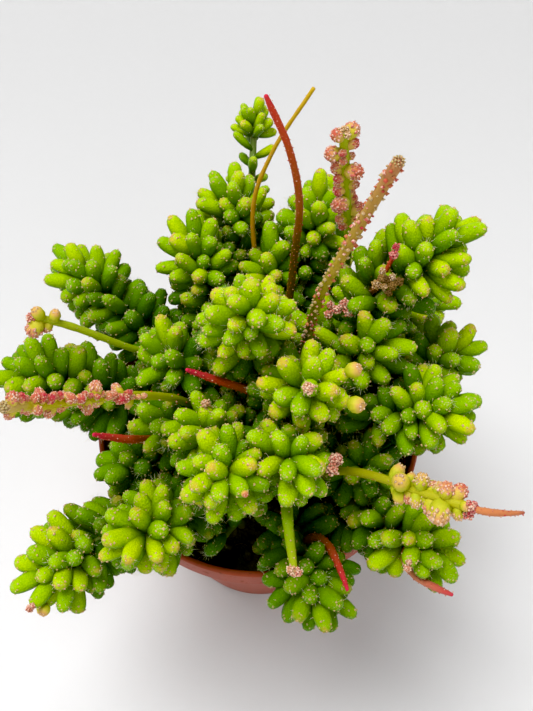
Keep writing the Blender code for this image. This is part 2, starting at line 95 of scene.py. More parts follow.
camera = bpy.data.objects.new("camera", bpy.data.cameras.new("camera"))
bpy.context.scene.collection.objects.link(camera)
camera.data.sensor_fit = "VERTICAL"
camera.data.sensor_height = SENSOR_MM
camera.data.lens = LENS_MM
camera.data.clip_start = 0.01
camera.location = EYE
camera.rotation_euler = (math.pi / 2 - TILT_DOWN, 0.0, -TURN_RIGHT)
bpy.context.scene.camera = camera
view = bpy.context.scene.view_settings
view.view_transform = "Standard"
view.use_curve_mapping = True
view.curve_mapping.black_level = SHADOW_CUT
view.curve_mapping.update()
print("camera at", EYE, "with a lens of", LENS_MM, "mm")

# %% [markdown]
# A shader is a small web of nodes. Typed one by one, even a sum takes five lines, so one small class
# wraps a socket and lets Python's own signs add the Math nodes. Everything else goes through its
# `node` method, which takes the node's type, its settings, and what goes into its sockets.

# %% A wire that knows arithmetic
class Wire:
    """One output socket in a material's web, or the bare web when it has no socket."""

    def __init__(self, tree, socket=None):
        self.tree = tree
        self.socket = socket

    def node(self, kind, settings=None, inputs=None, output=0):
        """Adds a node of a type: first its settings, then the values or wires of its sockets."""
        made = self.tree.nodes.new(kind)
        for key, value in (settings or {}).items():
            if key == "stops":
                self.set_stops(made.color_ramp, value)
            else:
                setattr(made, key, value)
        for key, value in (inputs or {}).items():
            self.fill(made.inputs[key], value)
        return Wire(self.tree, made.outputs[output])

    def fill(self, socket, value):
        """Puts a wire, a number, a vector or a colour of three values into a socket."""
        if isinstance(value, Wire):
            self.tree.links.new(value.socket, socket)
        else:
            socket.default_value = (*value, 1.0) if socket.type == "RGBA" else value

    @staticmethod
    def set_stops(ramp, stops):
        """Gives a colour ramp its stops, each a place with its red, green and blue."""
        while len(ramp.elements) < len(stops):
            ramp.elements.new(1.0)
        for element, (place, *colour) in zip(ramp.elements, stops):
            element.position = place
            element.color = (*colour, 1.0)

    def maths(self, operation, *values):
        """Adds one Math node."""
        return self.node("ShaderNodeMath", {"operation": operation}, dict(enumerate(values)))

    def __add__(self, other):
        return self.maths("ADD", self, other)

    def __sub__(self, other):
        return self.maths("SUBTRACT", self, other)

    def __rsub__(self, other):
        return self.maths("SUBTRACT", other, self)

    def __mul__(self, other):
        return self.maths("MULTIPLY", self, other)

    __radd__ = __add__
    __rmul__ = __mul__

    def clamped(self):
        """The same value kept between 0 and 1."""
        return self.maths("MINIMUM", self.maths("MAXIMUM", self, 0.0), 1.0)

    def stepped(self, low, high):
        """0 at `low`, 1 at `high`, and a soft step between."""
        return self.node(
            "ShaderNodeMapRange", {"interpolation_type": "SMOOTHSTEP"},
            {"Value": self, "From Min": low, "From Max": high})

    def ramp(self, *stops):
        """A colour read off a ramp. Each stop is a place with its red, green and blue."""
        return self.node("ShaderNodeValToRGB", {"stops": stops}, {"Fac": self})

    def part(self, axis):
        """One of the three numbers of a vector: X, Y or Z."""
        return self.node("ShaderNodeSeparateXYZ", None, {"Vector": self}, axis)


MIX_FACTOR, MIX_A, MIX_B, MIX_RESULT = 0, 6, 7, 2


def mixed(factor, first, second):
    """A colour between two others, by how strong the factor is."""
    return factor.node(
        "ShaderNodeMix", {"data_type": "RGBA", "blend_type": "MIX"},
        {MIX_FACTOR: factor, MIX_A: first, MIX_B: second}, MIX_RESULT)


def layered(colour, *layers):
    """A colour under layers of others, each with the mask that says where it lies."""
    for mask, other in layers:
        colour = mixed(mask, colour, other)
    return colour


def new_finish(name):
    """A material and the wire that starts its web."""
    material = bpy.data.materials.new(name)
    material.use_nodes = True
    return material, Wire(material.node_tree)


def set_shader(material, **sockets):
    """Feeds the material's Principled shader. Underscores in the names stand for spaces."""
    shader = material.node_tree.nodes["Principled BSDF"]
    for key, value in sockets.items():
        Wire(material.node_tree).fill(shader.inputs[key.replace("_", " ")], value)
    return material


def place_of(wire):
    """Where a point is on the object, in metres."""
    return wire.node("ShaderNodeTexCoord", output="Object")


def cloud(wire, size, detail=2.0, roughness=0.5, stretch=(1.0, 1.0, 1.0)):
    """A soft noise from 0 to 1 whose blotches are about `size` metres wide."""
    spot = wire.node("ShaderNodeMapping", None, {"Vector": place_of(wire), "Scale": stretch})
    return wire.node(
        "ShaderNodeTexNoise", None,
        {"Vector": spot, "Scale": 1.0 / size, "Detail": detail, "Roughness": roughness})


def cells(wire, size):
    """Distance to the nearest of many scattered spots, about `size` metres apart."""
    return wire.node(
        "ShaderNodeTexVoronoi", {"feature": "F1"},
        {"Vector": place_of(wire), "Scale": 1.0 / size}, "Distance")


def raised(wire, height, depth):
    """A bumped normal from a height between 0 and 1 that stands for `depth` metres."""
    return wire.node("ShaderNodeBump", None, {"Strength": 1.0, "Distance": depth, "Height": height})


def mesh_value(wire, name):
    """A value that the mesh carries at each of its points."""
    return wire.node("ShaderNodeAttribute", {"attribute_name": name}, None, "Fac")


print("shader helpers ready")

# %% [markdown]
# The plant stands in an evenly lit pale studio. A flat floor with a bright sky gives a hard horizon
# in the low views, so the floor here is one sheet that curves up into a wall all round, as a
# photographer's paper sweep does. Its section is turned round the upright axis.

# %% The floor sweep
SWEEP_FLAT = 1.1
SWEEP_BEND = 0.7
SWEEP_TOP = 2.2
SWEEP_SIDES = 96
BEND_STEPS = 16


def turned_mesh(name, section, sides):
    """A mesh turned round the upright axis from a section of (radius, height)."""
    form = bmesh.new()
    rings = []
    for radius, height in section:
        if radius < 1e-6:
            rings.append([form.verts.new((0.0, 0.0, height))])
            continue
        turns = [math.tau * index / sides for index in range(sides)]
        rings.append([
            form.verts.new((radius * math.cos(turn), radius * math.sin(turn), height))
            for turn in turns])
    for low, high in zip(rings, rings[1:]):
        for index in range(sides):
            after = (index + 1) % sides
            if len(low) == 1:
                form.faces.new((low[0], high[after], high[index]))
            elif len(high) == 1:
                form.faces.new((low[index], low[after], high[0]))
            else:
                form.faces.new((low[index], low[after], high[after], high[index]))
    bmesh.ops.recalc_face_normals(form, faces=form.faces)
    mesh = bpy.data.meshes.new(name)
    form.to_mesh(mesh)
    form.free()
    mesh.shade_smooth()
    return mesh


def placed(name, mesh):
    """An object for a mesh, in the scene."""
    item = bpy.data.objects.new(name, mesh)
    bpy.context.scene.collection.objects.link(item)
    return item


sweep_section = [(0.0, 0.0), (SWEEP_FLAT, 0.0)]
for step in range(1, BEND_STEPS + 1):
    turn = math.pi / 2 * step / BEND_STEPS
    sweep_section.append((SWEEP_FLAT + SWEEP_BEND * math.sin(turn), SWEEP_BEND * (1 - math.cos(turn))))
sweep_section.append((SWEEP_FLAT + SWEEP_BEND, SWEEP_TOP))
sweep = placed("floor_sweep", turned_mesh("floor_sweep", sweep_section, SWEEP_SIDES))
paper, web = new_finish("sweep_paper")
grain = cloud(web, 0.004, 3.0)
# painted shade: the paper is painted darker toward the back, where the window lights it most, so that the
# floor looks evenly lit
behind = place_of(web).part("Y").stepped(-0.10, 0.34)
pale = mixed(behind, (0.735, 0.742, 0.752), (0.540, 0.542, 0.550))
set_shader(
    paper, Base_Color=mixed(grain * 0.12, pale, (0.66, 0.66, 0.67)),
    Roughness=0.9, Specular_IOR_Level=0.1)
sweep.data.materials.append(paper)
print("sweep of", len(sweep.data.polygons), "faces")

# %% [markdown]
# The light is a wide soft window high above the plant, a little behind it and to the left, with a
# weak one at the front right and a pale sky for the shadows. One small lamp would give hard edges,
# and the sky alone would model nothing.

# %% The light
WINDOW_WATTS = 73.0
BOUNCE_WATTS = 2.0
SKY_STRENGTH = 0.09
SKY_COLOUR = (0.93, 0.96, 1.0, 1.0)
PLANT_MIDDLE = Vector((0.0, 0.0, 0.12))


def soft_window(name, place, side, watts, colour):
    """A square lamp that faces the plant."""
    lamp = bpy.data.objects.new(name, bpy.data.lights.new(name, "AREA"))
    lamp.data.shape = "SQUARE"
    lamp.data.size = side
    lamp.data.energy = watts
    lamp.data.color = colour
    lamp.location = place
    lamp.rotation_euler = (PLANT_MIDDLE - lamp.location).to_track_quat("-Z", "Y").to_euler()
    bpy.context.scene.collection.objects.link(lamp)


soft_window("window", (-0.56, 0.46, 2.60), 1.5, WINDOW_WATTS, (1.0, 0.99, 0.97))
soft_window("bounce", (0.50, -1.10, 1.20), 1.0, BOUNCE_WATTS, (1.0, 0.99, 0.98))
sky = bpy.data.worlds.new("sky")
bpy.context.scene.world = sky
sky.use_nodes = True
background = sky.node_tree.nodes["Background"]
background.inputs["Color"].default_value = SKY_COLOUR
background.inputs["Strength"].default_value = SKY_STRENGTH
print("two windows and a sky")

# %% [markdown]
# The pot is a thin injection-moulded nursery pot. It was turned in the CAD with few sides, which
# shows as corners on a round rim. The same section is turned again with many sides, and each
# corner of it gets a small round, because moulded plastic has no sharp edge.

# %% The pot's section
POT_HEIGHT = 0.092
RIM_RADIUS = 0.0525
RIM_THICKNESS = 0.0017
RIM_BAND = 0.0098
WALL = 0.0012
FOOT_RADIUS = 0.0315
FLOOR_TOP = 0.0027
FOOT_RECESS = 0.0012
FOOT_RING = 0.0050
CENTRE_DISC = 0.0085
SHOULDER = POT_HEIGHT - RIM_BAND
SHOULDER_STEP = 0.0009
RING_SPACING = 0.006
SHARP_OVER = math.radians(40.0)
CORNER_ROUND = 0.00035
FINE_SIDES = 160


def inner_wall_radius(height):
    """Radius of the pot's inner wall at a height under the rim band."""
    foot = FOOT_RADIUS - WALL
    shoulder = RIM_RADIUS - SHOULDER_STEP - RIM_THICKNESS - WALL
    rise = (height - FLOOR_TOP) / (SHOULDER - FLOOR_TOP)
    return foot + (shoulder - foot) * rise


def pot_section():
    """Half section: over the floor, up the inner wall, round the rim, down outside."""
    lip = RIM_RADIUS - RIM_THICKNESS
    return [
        (0.0, FLOOR_TOP),
        (FOOT_RADIUS - WALL, FLOOR_TOP),
        (inner_wall_radius(SHOULDER - WALL), SHOULDER - WALL),
        (lip - 0.0012, SHOULDER + 0.0006),
        (lip, POT_HEIGHT),
        (RIM_RADIUS - 0.0006, POT_HEIGHT),
        (RIM_RADIUS, POT_HEIGHT - 0.0007),
        (RIM_RADIUS - 0.0004, SHOULDER + 0.0005),
        (RIM_RADIUS - 0.0010, SHOULDER - 0.0004),
        (inner_wall_radius(SHOULDER) + WALL, SHOULDER - 0.0008),
        (FOOT_RADIUS + 0.0004, 0.0010),
        (FOOT_RADIUS - 0.0004, 0.0),
        (FOOT_RADIUS - FOOT_RING, 0.0),
        (FOOT_RADIUS - FOOT_RING - 0.0008, FOOT_RECESS),
        (CENTRE_DISC + 0.0008, FOOT_RECESS),
        (CENTRE_DISC, 0.0),
        (0.0, 0.0),
    ]


def rounded(section, reach, steps=3):
    """The same section with each inner corner rounded over `reach` metres."""
    points = [Vector(point) for point in section]
    smooth = [points[0]]
    for before, corner, after in zip(points, points[1:], points[2:]):
        back = min(reach, (corner - before).length * 0.4)
        on = min(reach, (after - corner).length * 0.4)
        start = corner + (before - corner).normalized() * back
        end = corner + (after - corner).normalized() * on
        for step in range(steps + 1):
            share = step / steps
            smooth.append(start.lerp(corner, share).lerp(corner.lerp(end, share), share))
    return [tuple(point) for point in smooth + [points[-1]]]


def with_more_rings(section, longest):
    """The section with its long runs cut up, so that shading and bumps stay even."""
    points = [Vector(point) for point in section]
    full = [points[0]]
    for start, end in zip(points, points[1:]):
        count = max(1, math.ceil((end - start).length / longest))
        full += [start.lerp(end, step / count) for step in range(1, count + 1)]
    return [tuple(point) for point in full]


pot_outline = with_more_rings(rounded(pot_section(), CORNER_ROUND), RING_SPACING)
pot = placed("nursery_pot", turned_mesh("nursery_pot", pot_outline, FINE_SIDES))
print("pot section of", len(pot_outline), "points")

# %% [markdown]
# Water leaves the pot through eight round holes in its floor. They are cut with a Boolean modifier,
# which is then applied so that the cutters can go.

# %% The drain holes
DRAIN_RADIUS = 0.0036
DRAIN_CIRCLE = 0.0178
DRAIN_COUNT = 8
DRAIN_SIDES = 32


def settled_mesh(item):
    """The object's mesh as its modifiers leave it."""
    graph = bpy.context.evaluated_depsgraph_get()
    return bpy.data.meshes.new_from_object(item.evaluated_get(graph))


def drain_cutters():
    """Upright prisms on a circle, as one object."""
    form = bmesh.new()
    for index in range(DRAIN_COUNT):
        turn = math.tau * (index + 0.5) / DRAIN_COUNT
        place = Matrix.Translation((DRAIN_CIRCLE * math.cos(turn), DRAIN_CIRCLE * math.sin(turn), 0.0))
        bmesh.ops.create_cone(
            form, cap_ends=True, segments=DRAIN_SIDES, radius1=DRAIN_RADIUS, radius2=DRAIN_RADIUS,
            depth=4 * FLOOR_TOP, matrix=place)
    mesh = bpy.data.meshes.new("drain_cutters")
    form.to_mesh(mesh)
    form.free()
    return placed("drain_cutters", mesh)


cutters = drain_cutters()
cut = pot.modifiers.new("drains", "BOOLEAN")
cut.object = cutters
cut.solver = "EXACT"
bpy.context.view_layer.update()
pot_with_drains = settled_mesh(pot)
pot.modifiers.clear()
pot.data = pot_with_drains
bpy.data.objects.remove(cutters)
pot.data.shade_smooth()
pot.data.set_sharp_from_angle(angle=SHARP_OVER)
print("pot of", len(pot.data.polygons), "faces with", DRAIN_COUNT, "drains")

# %% [markdown]
# The plastic is a pinkish terracotta with a satin skin. Close up it is not one colour: the moulding
# leaves fine mottling, handling dulls the rim, and peat dust sticks near the soil. Each of these is
# a mask made of noise and height, and the masks change colour and roughness together.

# %% The terracotta plastic
def terracotta_plastic():
    """Mottled and streaked plastic, dull on its rim and dusty near the soil."""
    material, web = new_finish("terracotta_plastic")
    height = place_of(web).part("Z")
    mottle = cloud(web, 0.0045, 4.0, 0.6)
    streak = cloud(web, 0.006, 3.0, 0.55, (1.0, 1.0, 0.12))
    scuff = cells(web, 0.0021).stepped(0.10, 0.02) * cloud(web, 0.009).stepped(0.50, 0.66)
    rim = height.stepped(POT_HEIGHT - 0.0022, POT_HEIGHT)
    dust = height.stepped(SHOULDER - 0.012, SHOULDER) * cloud(web, 0.0022, 5.0, 0.65).stepped(0.55, 0.72)
    colour = layered(
        (0.23, 0.028, 0.011),
        (mottle, (0.30, 0.041, 0.017)),
        (streak.stepped(0.45, 0.75) * 0.35, (0.35, 0.061, 0.028)),
        ((rim * 0.25 + scuff * 0.5).clamped(), (0.42, 0.095, 0.052)),
        (dust * 0.45, (0.055, 0.032, 0.022)))
    roughness = 0.40 + mottle * 0.12 + dust * 0.3 + scuff * 0.2
    relief = mottle * 0.4 + cloud(web, 0.0006, 2.0) * 0.35 + streak * 0.25
    return set_shader(
        material, Base_Color=colour, Roughness=roughness, Normal=raised(web, relief, 0.00006),
        Subsurface_Weight=0.05, Subsurface_Radius=(1.0, 0.35, 0.2), Subsurface_Scale=0.0008,
        Specular_IOR_Level=0.20, Specular_Tint=(1.0, 0.6, 0.5))


pot.data.materials.clear()
pot.data.materials.append(terracotta_plastic())
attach(pot, "root")
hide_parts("pot")
print("pot finished in", pot.data.materials[0].name)

# %% [markdown]
# Many small bodies make up the rest of the model: crumbs, segments, areoles and bristles. Thousands
# of separate objects would be slow, and particles can't be exported. So every piece gathers the
# points and faces of its small bodies in one heap, which turns into one mesh at the end. Each
# point also carries a few values, such as how far along its body it lies, for the finishes to read.

# %% A heap that becomes a mesh
VALUE_NAMES = ("along", "tone", "age")


def corners_of(faces):
    """Faces as rows of four corners, with -1 where a triangle has no fourth."""
    return np.array([tuple(face) + (-1,) * (4 - len(face)) for face in faces])


@dataclass
class Body:
    """A small closed body: its points, its faces as rows of corners, each face's
    finish, and how far along the body each point lies."""

    points: np.ndarray
    faces: np.ndarray
    slots: np.ndarray
    along: np.ndarray


def one_finish(points, faces, slot, along=None):
    """A body with one finish all over."""
    along = np.full(len(points), 0.5) if along is None else along
    return Body(points, faces, np.full(len(faces), slot), along)


def joined(bodies):
    """Several bodies as one."""
    faces, count = [], 0
    for body in bodies:
        faces.append(np.where(body.faces < 0, -1, body.faces + count))
        count += len(body.points)
    return Body(np.vstack([body.points for body in bodies]), np.vstack(faces),
                np.concatenate([body.slots for body in bodies]),
                np.concatenate([body.along for body in bodies]))


class Heap:
    """Small bodies gathered for one mesh."""

    def __init__(self):
        self.bodies = []
        self.tones, self.ages = [], []

    def add(self, body, points=None, tone=0.5, age=0.5):
        """Adds a body, with its points moved to where they belong."""
        points = body.points if points is None else points
        self.bodies.append(Body(points, body.faces, body.slots, body.along))
        self.tones.append(np.full(len(points), tone))
        self.ages.append(np.full(len(points), age))

    def mesh(self, name, finishes):
        """One smooth mesh of everything in the heap."""
        whole = joined(self.bodies)
        sides = np.where(whole.faces[:, 3] < 0, 3, 4)
        mesh = bpy.data.meshes.new(name)
        mesh.vertices.add(len(whole.points))
        mesh.vertices.foreach_set("co", whole.points.ravel())
        mesh.loops.add(int(sides.sum()))
        mesh.loops.foreach_set("vertex_index", whole.faces[whole.faces >= 0])
        mesh.polygons.add(len(sides))
        mesh.polygons.foreach_set("loop_start", np.cumsum(sides) - sides)
        for finish in finishes:
            mesh.materials.append(finish)
        mesh.polygons.foreach_set("material_index", whole.slots)
        values = (whole.along, np.concatenate(self.tones), np.concatenate(self.ages))
        for key, numbers in zip(VALUE_NAMES, values):
            layer = mesh.attributes.new(key, "FLOAT", "POINT")
            layer.data.foreach_set("value", numbers.astype(np.float32))
        mesh.update(calc_edges=True)
        mesh.shade_smooth()
        return mesh


def dressed(name, mesh, slot, *nodes):
    """A finished piece that rides on the pot and stands for its CAD nodes."""
    piece = placed(name, mesh)
    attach(piece, "root")
    if nodes:
        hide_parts(*nodes)
    return piece


def ball_form(rounds):
    """Points and faces of a unit ball made of triangles."""
    form = bmesh.new()
    bmesh.ops.create_icosphere(form, subdivisions=rounds, radius=1.0)
    points = np.array([vertex.co[:] for vertex in form.verts])
    faces = corners_of([[vertex.index for vertex in face.verts] for face in form.faces])
    form.free()
    return points, faces


BEAD_POINTS = np.array([
    (1.0, 0.0, 0.0), (0.0, 1.0, 0.0), (-1.0, 0.0, 0.0), (0.0, -1.0, 0.0), (0.0, 0.0, 1.0), (0.0, 0.0, -1.0)])
BEAD_FACES = corners_of([
    (0, 1, 4), (1, 2, 4), (2, 3, 4), (3, 0, 4), (1, 0, 5), (2, 1, 5), (3, 2, 5), (0, 3, 5)])
PAD_POINTS, PAD_FACES = ball_form(1)
BALL_POINTS, BALL_FACES = ball_form(2)
print("bead of", len(BEAD_FACES), "faces, pad of", len(PAD_FACES), "and ball of", len(BALL_FACES))

# %% [markdown]
# The soil is dark peat with bark crumbs, root fibres and a few white specks of perlite. Bump alone
# looks painted on from the side. The bed is a real surface lifted by noise, and the crumbs,
# fibres and specks are small bodies strewn on it.

# %% The soil bed
SOIL_TOP = 0.0800
SOIL_CROWN = 0.0012
SOIL_CLEARANCE = 0.0004
SOIL_SIDES = 144
SOIL_RINGS = 46
SOIL_LIFT = 0.0011
SOIL_EDGE_SINK = 0.0010
HUMPS_PER_METRE, GRAINS_PER_METRE = 90.0, 420.0
SOIL_SEED = 11
SOIL_EDGE = inner_wall_radius(SOIL_TOP) - SOIL_CLEARANCE


def soil_height(x, y):
    """Height of the soil at a place, from two sizes of noise."""
    out = min(1.0, math.hypot(x, y) / SOIL_EDGE)
    big = noise.noise(Vector((x, y, 0.0)) * HUMPS_PER_METRE)
    small = noise.noise(Vector((x, y, 1.0)) * GRAINS_PER_METRE)
    level = SOIL_TOP + SOIL_CROWN * (1.0 - out) - SOIL_EDGE_SINK * out ** 6
    return level + SOIL_LIFT * (0.6 * big + 0.4 * small)


def soil_mesh():
    """A closed body with an uneven top."""
    bottom = FLOOR_TOP + SOIL_CLEARANCE
    section = [(SOIL_EDGE * ring / SOIL_RINGS, SOIL_TOP) for ring in range(SOIL_RINGS + 1)]
    section += [(inner_wall_radius(bottom) - SOIL_CLEARANCE, bottom), (0.0, bottom)]
    mesh = turned_mesh("peat_soil", section, SOIL_SIDES)
    for vertex in mesh.vertices:
        if vertex.co.z > SOIL_TOP - 1e-5:
            vertex.co.z = soil_height(vertex.co.x, vertex.co.y)
    return mesh


soil_form = soil_mesh()
print("soil bed of", len(soil_form.polygons), "faces")

# %% The peat's finish
def peat(name, dark, light):
    """Near-black peat, browner where the crumbs are dry."""
    material, web = new_finish(name)
    patch = cloud(web, 0.0035, 5.0, 0.65)
    speck = cells(web, 0.0011)
    colour = layered(
        dark, (patch.stepped(0.35, 0.7), light), (speck.stepped(0.35, 0.0) * 0.5, (0.150, 0.125, 0.100)))
    relief = patch * 0.6 + speck * 0.4
    return set_shader(
        material, Base_Color=colour, Roughness=0.95 - patch * 0.15,
        Normal=raised(web, relief, 0.0006), Specular_IOR_Level=0.25)


peat_finish = peat("peat_soil", (0.022, 0.019, 0.017), (0.060, 0.050, 0.042))
soil_form.materials.append(peat_finish)
dressed("peat_soil", soil_form, "peat_soil", "soil")
print("soil finished in", peat_finish.name)

# %% The crumbs, fibres and perlite
CRUMB_COUNT = 900
FIBRE_COUNT = 110
PERLITE_COUNT = 26
LARGE_CRUMB = 0.0012
CRUMB_LEAST, CRUMB_SPREAD = 0.0004, 0.0016
PERLITE_SIZES = (0.0007, 0.0015)
FIBRE_RADIUS = 0.00009
FIBRE_REACHES = (0.002, 0.0045)
FIBRE_STEPS = 5


def plain_finish(name, dark, light, size, roughness, depth):
    """Two tones in blotches with a fine grain, for small rough bodies."""
    material, web = new_finish(name)
    blotch = cloud(web, size, 4.0, 0.6)
    return set_shader(
        material, Base_Color=mixed(blotch.stepped(0.3, 0.7), dark, light),
        Roughness=roughness - blotch * 0.1, Normal=raised(web, blotch, depth))


def lump(rng, rough, form):
    """A ball pushed out of round, as points of about unit size."""
    pushed = np.array([1.0 + rng.uniform(-rough, rough) for _ in form])
    squash = np.array([rng.uniform(0.7, 1.2), rng.uniform(0.7, 1.2), rng.uniform(0.5, 0.9)])
    return form * pushed[:, None] * squash


def soil_spot(rng, margin):
    """A place on the soil, even over its disc, and its height there."""
    out = (SOIL_EDGE - margin) * math.sqrt(rng.random())
    turn = rng.uniform(0.0, math.tau)
    x, y = out * math.cos(turn), out * math.sin(turn)
    return np.array((x, y, soil_height(x, y)))


def tube_faces(rings, sides):
    """Faces round a tube of rings, closed by fans to the two middle points that come last."""
    top, foot_middle = (rings - 1) * sides, rings * sides
    faces = []
    for side in range(sides):
        after = (side + 1) % sides
        faces += [(after, side, foot_middle), (top + side, top + after, foot_middle + 1)]
        for low in range(0, top, sides):
            faces.append((low + side, low + after, low + sides + after, low + sides + side))
    return corners_of(faces)


def thin_bar(points, radii, slot, sides=3):
    """A closed bar of few sides along points."""
    points = [Vector(point) for point in points]
    spots, across = [], None
    for index, (point, radius) in enumerate(zip(points, radii)):
        ahead = points[min(index + 1, len(points) - 1)] - points[max(index - 1, 0)]
        ahead.normalize()
        across = ahead.orthogonal() if across is None else across - ahead * across.dot(ahead)
        across.normalize()
        side = ahead.cross(across)
        for step in range(sides):
            turn = math.tau * step / sides
            spots.append(point + (across * math.cos(turn) + side * math.sin(turn)) * radius)
    spots += [points[0], points[-1]]
    shares = np.append(np.repeat(np.linspace(0.0, 1.0, len(points)), sides), (0.0, 1.0))
    return one_finish(np.array([spot[:] for spot in spots]), tube_faces(len(points), sides), slot, shares)


def strew():
    """Crumbs, fibres and perlite on the soil, in one heap."""
    rng = random.Random(SOIL_SEED)
    heap = Heap()
    for index in range(CRUMB_COUNT + PERLITE_COUNT):
        white = index >= CRUMB_COUNT
        size = rng.uniform(*PERLITE_SIZES) if white else CRUMB_LEAST + CRUMB_SPREAD * rng.random() ** 2.5
        points, faces = (BALL_POINTS, BALL_FACES) if size > LARGE_CRUMB else (PAD_POINTS, PAD_FACES)
        spot = soil_spot(rng, 0.0015 + size) + np.array((0.0, 0.0, 0.25 * size))
        crumb = one_finish(lump(rng, 0.16, points) * size + spot, faces, 1 if white else 0)
        heap.add(crumb, tone=rng.random())
    for index in range(FIBRE_COUNT):
        start = Vector(soil_spot(rng, 0.004)) + Vector((0.0, 0.0, 0.0005))
        turn = rng.uniform(0.0, math.tau)
        reach = rng.uniform(*FIBRE_REACHES)
        points = [start]
        for step in range(FIBRE_STEPS):
            turn += rng.uniform(-0.7, 0.7)
            drift = Vector((math.cos(turn), math.sin(turn), rng.uniform(-0.25, 0.3)))
            points.append(points[-1] + drift * reach / (FIBRE_STEPS - 1))
        heap.add(thin_bar(points, [FIBRE_RADIUS] * len(points), 2), tone=rng.random())
    return heap


crumb_finish = peat("bark_crumbs", (0.030, 0.026, 0.022), (0.120, 0.100, 0.082))
perlite_finish = plain_finish(
    "perlite", (0.42, 0.40, 0.36), (0.72, 0.70, 0.66), 0.0009, 0.9, 0.0002)
fibre_finish = plain_finish(
    "root_fibres", (0.11, 0.07, 0.04), (0.24, 0.17, 0.10), 0.002, 0.85, 0.00005)
litter_mesh = strew().mesh("soil_litter", (crumb_finish, perlite_finish, fibre_finish))
dressed("soil_litter", litter_mesh, "peat_soil")
print("soil litter of", len(litter_mesh.polygons), "faces")

# %% [markdown]
# Now the plant. Each leafy stem is one row: where its foot stands in the soil, where its tip is, how
# far the tip tilts and toward which side, and how much of its end is set with segments. The rows and
# the rule that grows them are the CAD's own, so each fine piece stands where its plain solid does.

# %% The rows of the plant
def metres(*millimetres):
    """Millimetres as metres."""
    return tuple(number / 1000 for number in millimetres)


@dataclass(frozen=True)
class LeafyStem:
    """A stem from its foot in the soil to its tip, with the length that is set
    with segments. At the tip it tilts from upright toward a compass angle,
    counted from +X. `young` makes its segments paler, as young growth and as painted light, and below zero
    darker, as painted shade; `shady` makes them darker as painted shade, and lighter below zero as
    painted light, and `scale` sizes them."""

    name: str
    foot: tuple
    tip: tuple
    tilt: float
    toward: float
    leafy: float
    young: float = 0.0
    shady: float = 0.0
    scale: float = 1.0


LEAFY_ROWS = (
    ("crown", (-3, 4), (-2, -4, 160), 12, -90, 52, 0.18, -0.12),
    ("crown_right", (6, -6), (13, -21, 151), 24, -60, 46, 0.18, -0.10),
    ("front", (-3, -20), (-9, -41, 143), 30, -104, 46, 0.10),
    ("front_inner", (5, -16), (8, -38, 144), 28, -72, 46, 0, -0.08),
    ("right_back", (21, 7), (50, 18, 159), 48, 18, 44),
    ("right_back_inner", (13, 12), (35, 21, 143), 25, 60, 38),
    ("back_right", (10, 24), (20, 48, 137), 22, 65, 42),
    ("back_middle", (2, 18), (5, 38, 126), 22, 100, 36),
    ("back_left", (-10, 21), (-19, 42, 127), 36, 122, 40),
    ("back", (-3, 28), (-7, 60, 131), 34, 100, 36, 0.15),
    ("back_young", (-4, 37), (0, 90, 137), 44, 86, 38, 0.45, -0.15, 0.76),
    ("left_back", (-24, 18), (-57, 41, 116), 70, 143, 44, -0.10, 0.20),
    ("left", (-30, -2), (-67, -1, 123), 72, 178, 48, 0.12, 0.30),
    ("left_middle", (-18, -9), (-25, -16, 122), 28, -165, 34, 0, 0.35),
    ("left_front", (-26, -14), (-39, -23, 108), 50, -150, 32, 0, 0.42),
    ("left_inner", (-13, 2), (-25, 0, 132), 28, 165, 40, 0, 0.25),
    ("centre_left", (-8, -12), (-14, -24, 131), 20, -115, 40),
    ("front_left", (-17, -26), (-32, -50, 122), 36, -120, 40, 0.14),
    ("front_left_outer", (-26, -25), (-58, -55, 107), 74, -136, 42, 0.06, 0.12),
    ("front_low", (-6, -32), (-11, -41, 96), 35, -105, 14, -0.20, 0.50),
    ("front_over_rim", (10, -34), (15, -61, 105), 80, -77, 34, -0.08, 0.48),
    ("front_right", (23, -27), (45, -53, 115), 46, -52, 40, 0.12),
    ("front_right_low", (18, -15), (33, -27, 112), 36, -38, 30, 0, 0.35),
    ("right", (25, -7), (50, -19, 133), 50, -20, 44),
    ("right_outer", (33, 2), (57, 4, 124), 52, 8, 34),
    ("right_inner", (16, -1), (32, 0, 138), 26, -8, 36),
    ("centre_back", (6, 6), (22, 11, 127), 14, 40, 30),
    ("back_over_rim", (-8, 36), (-9, 70, 99), 84, 96, 34),
    ("back_right_low", (14, 33), (22, 63, 104), 70, 70, 32),
    ("right_back_low", (28, 20), (56, 38, 107), 66, 34, 36),
)
LEAFY_STEMS = [
    LeafyStem("leafy_stem_" + name, metres(*foot), metres(*tip), tilt, toward, leafy / 1000, *looks)
    for name, foot, tip, tilt, toward, leafy, *looks in LEAFY_ROWS
]


@dataclass(frozen=True)
class TallShoot:
    """A bare stem from its foot in the soil through the points of its route, in
    millimetres, with its radius at foot and tip, and how much of its end
    carries buds, both in metres."""

    name: str
    foot_radius: float
    tip_radius: float
    slot: str
    route: tuple
    budded: float = 0.0
    bud_radius: float = 0.0015


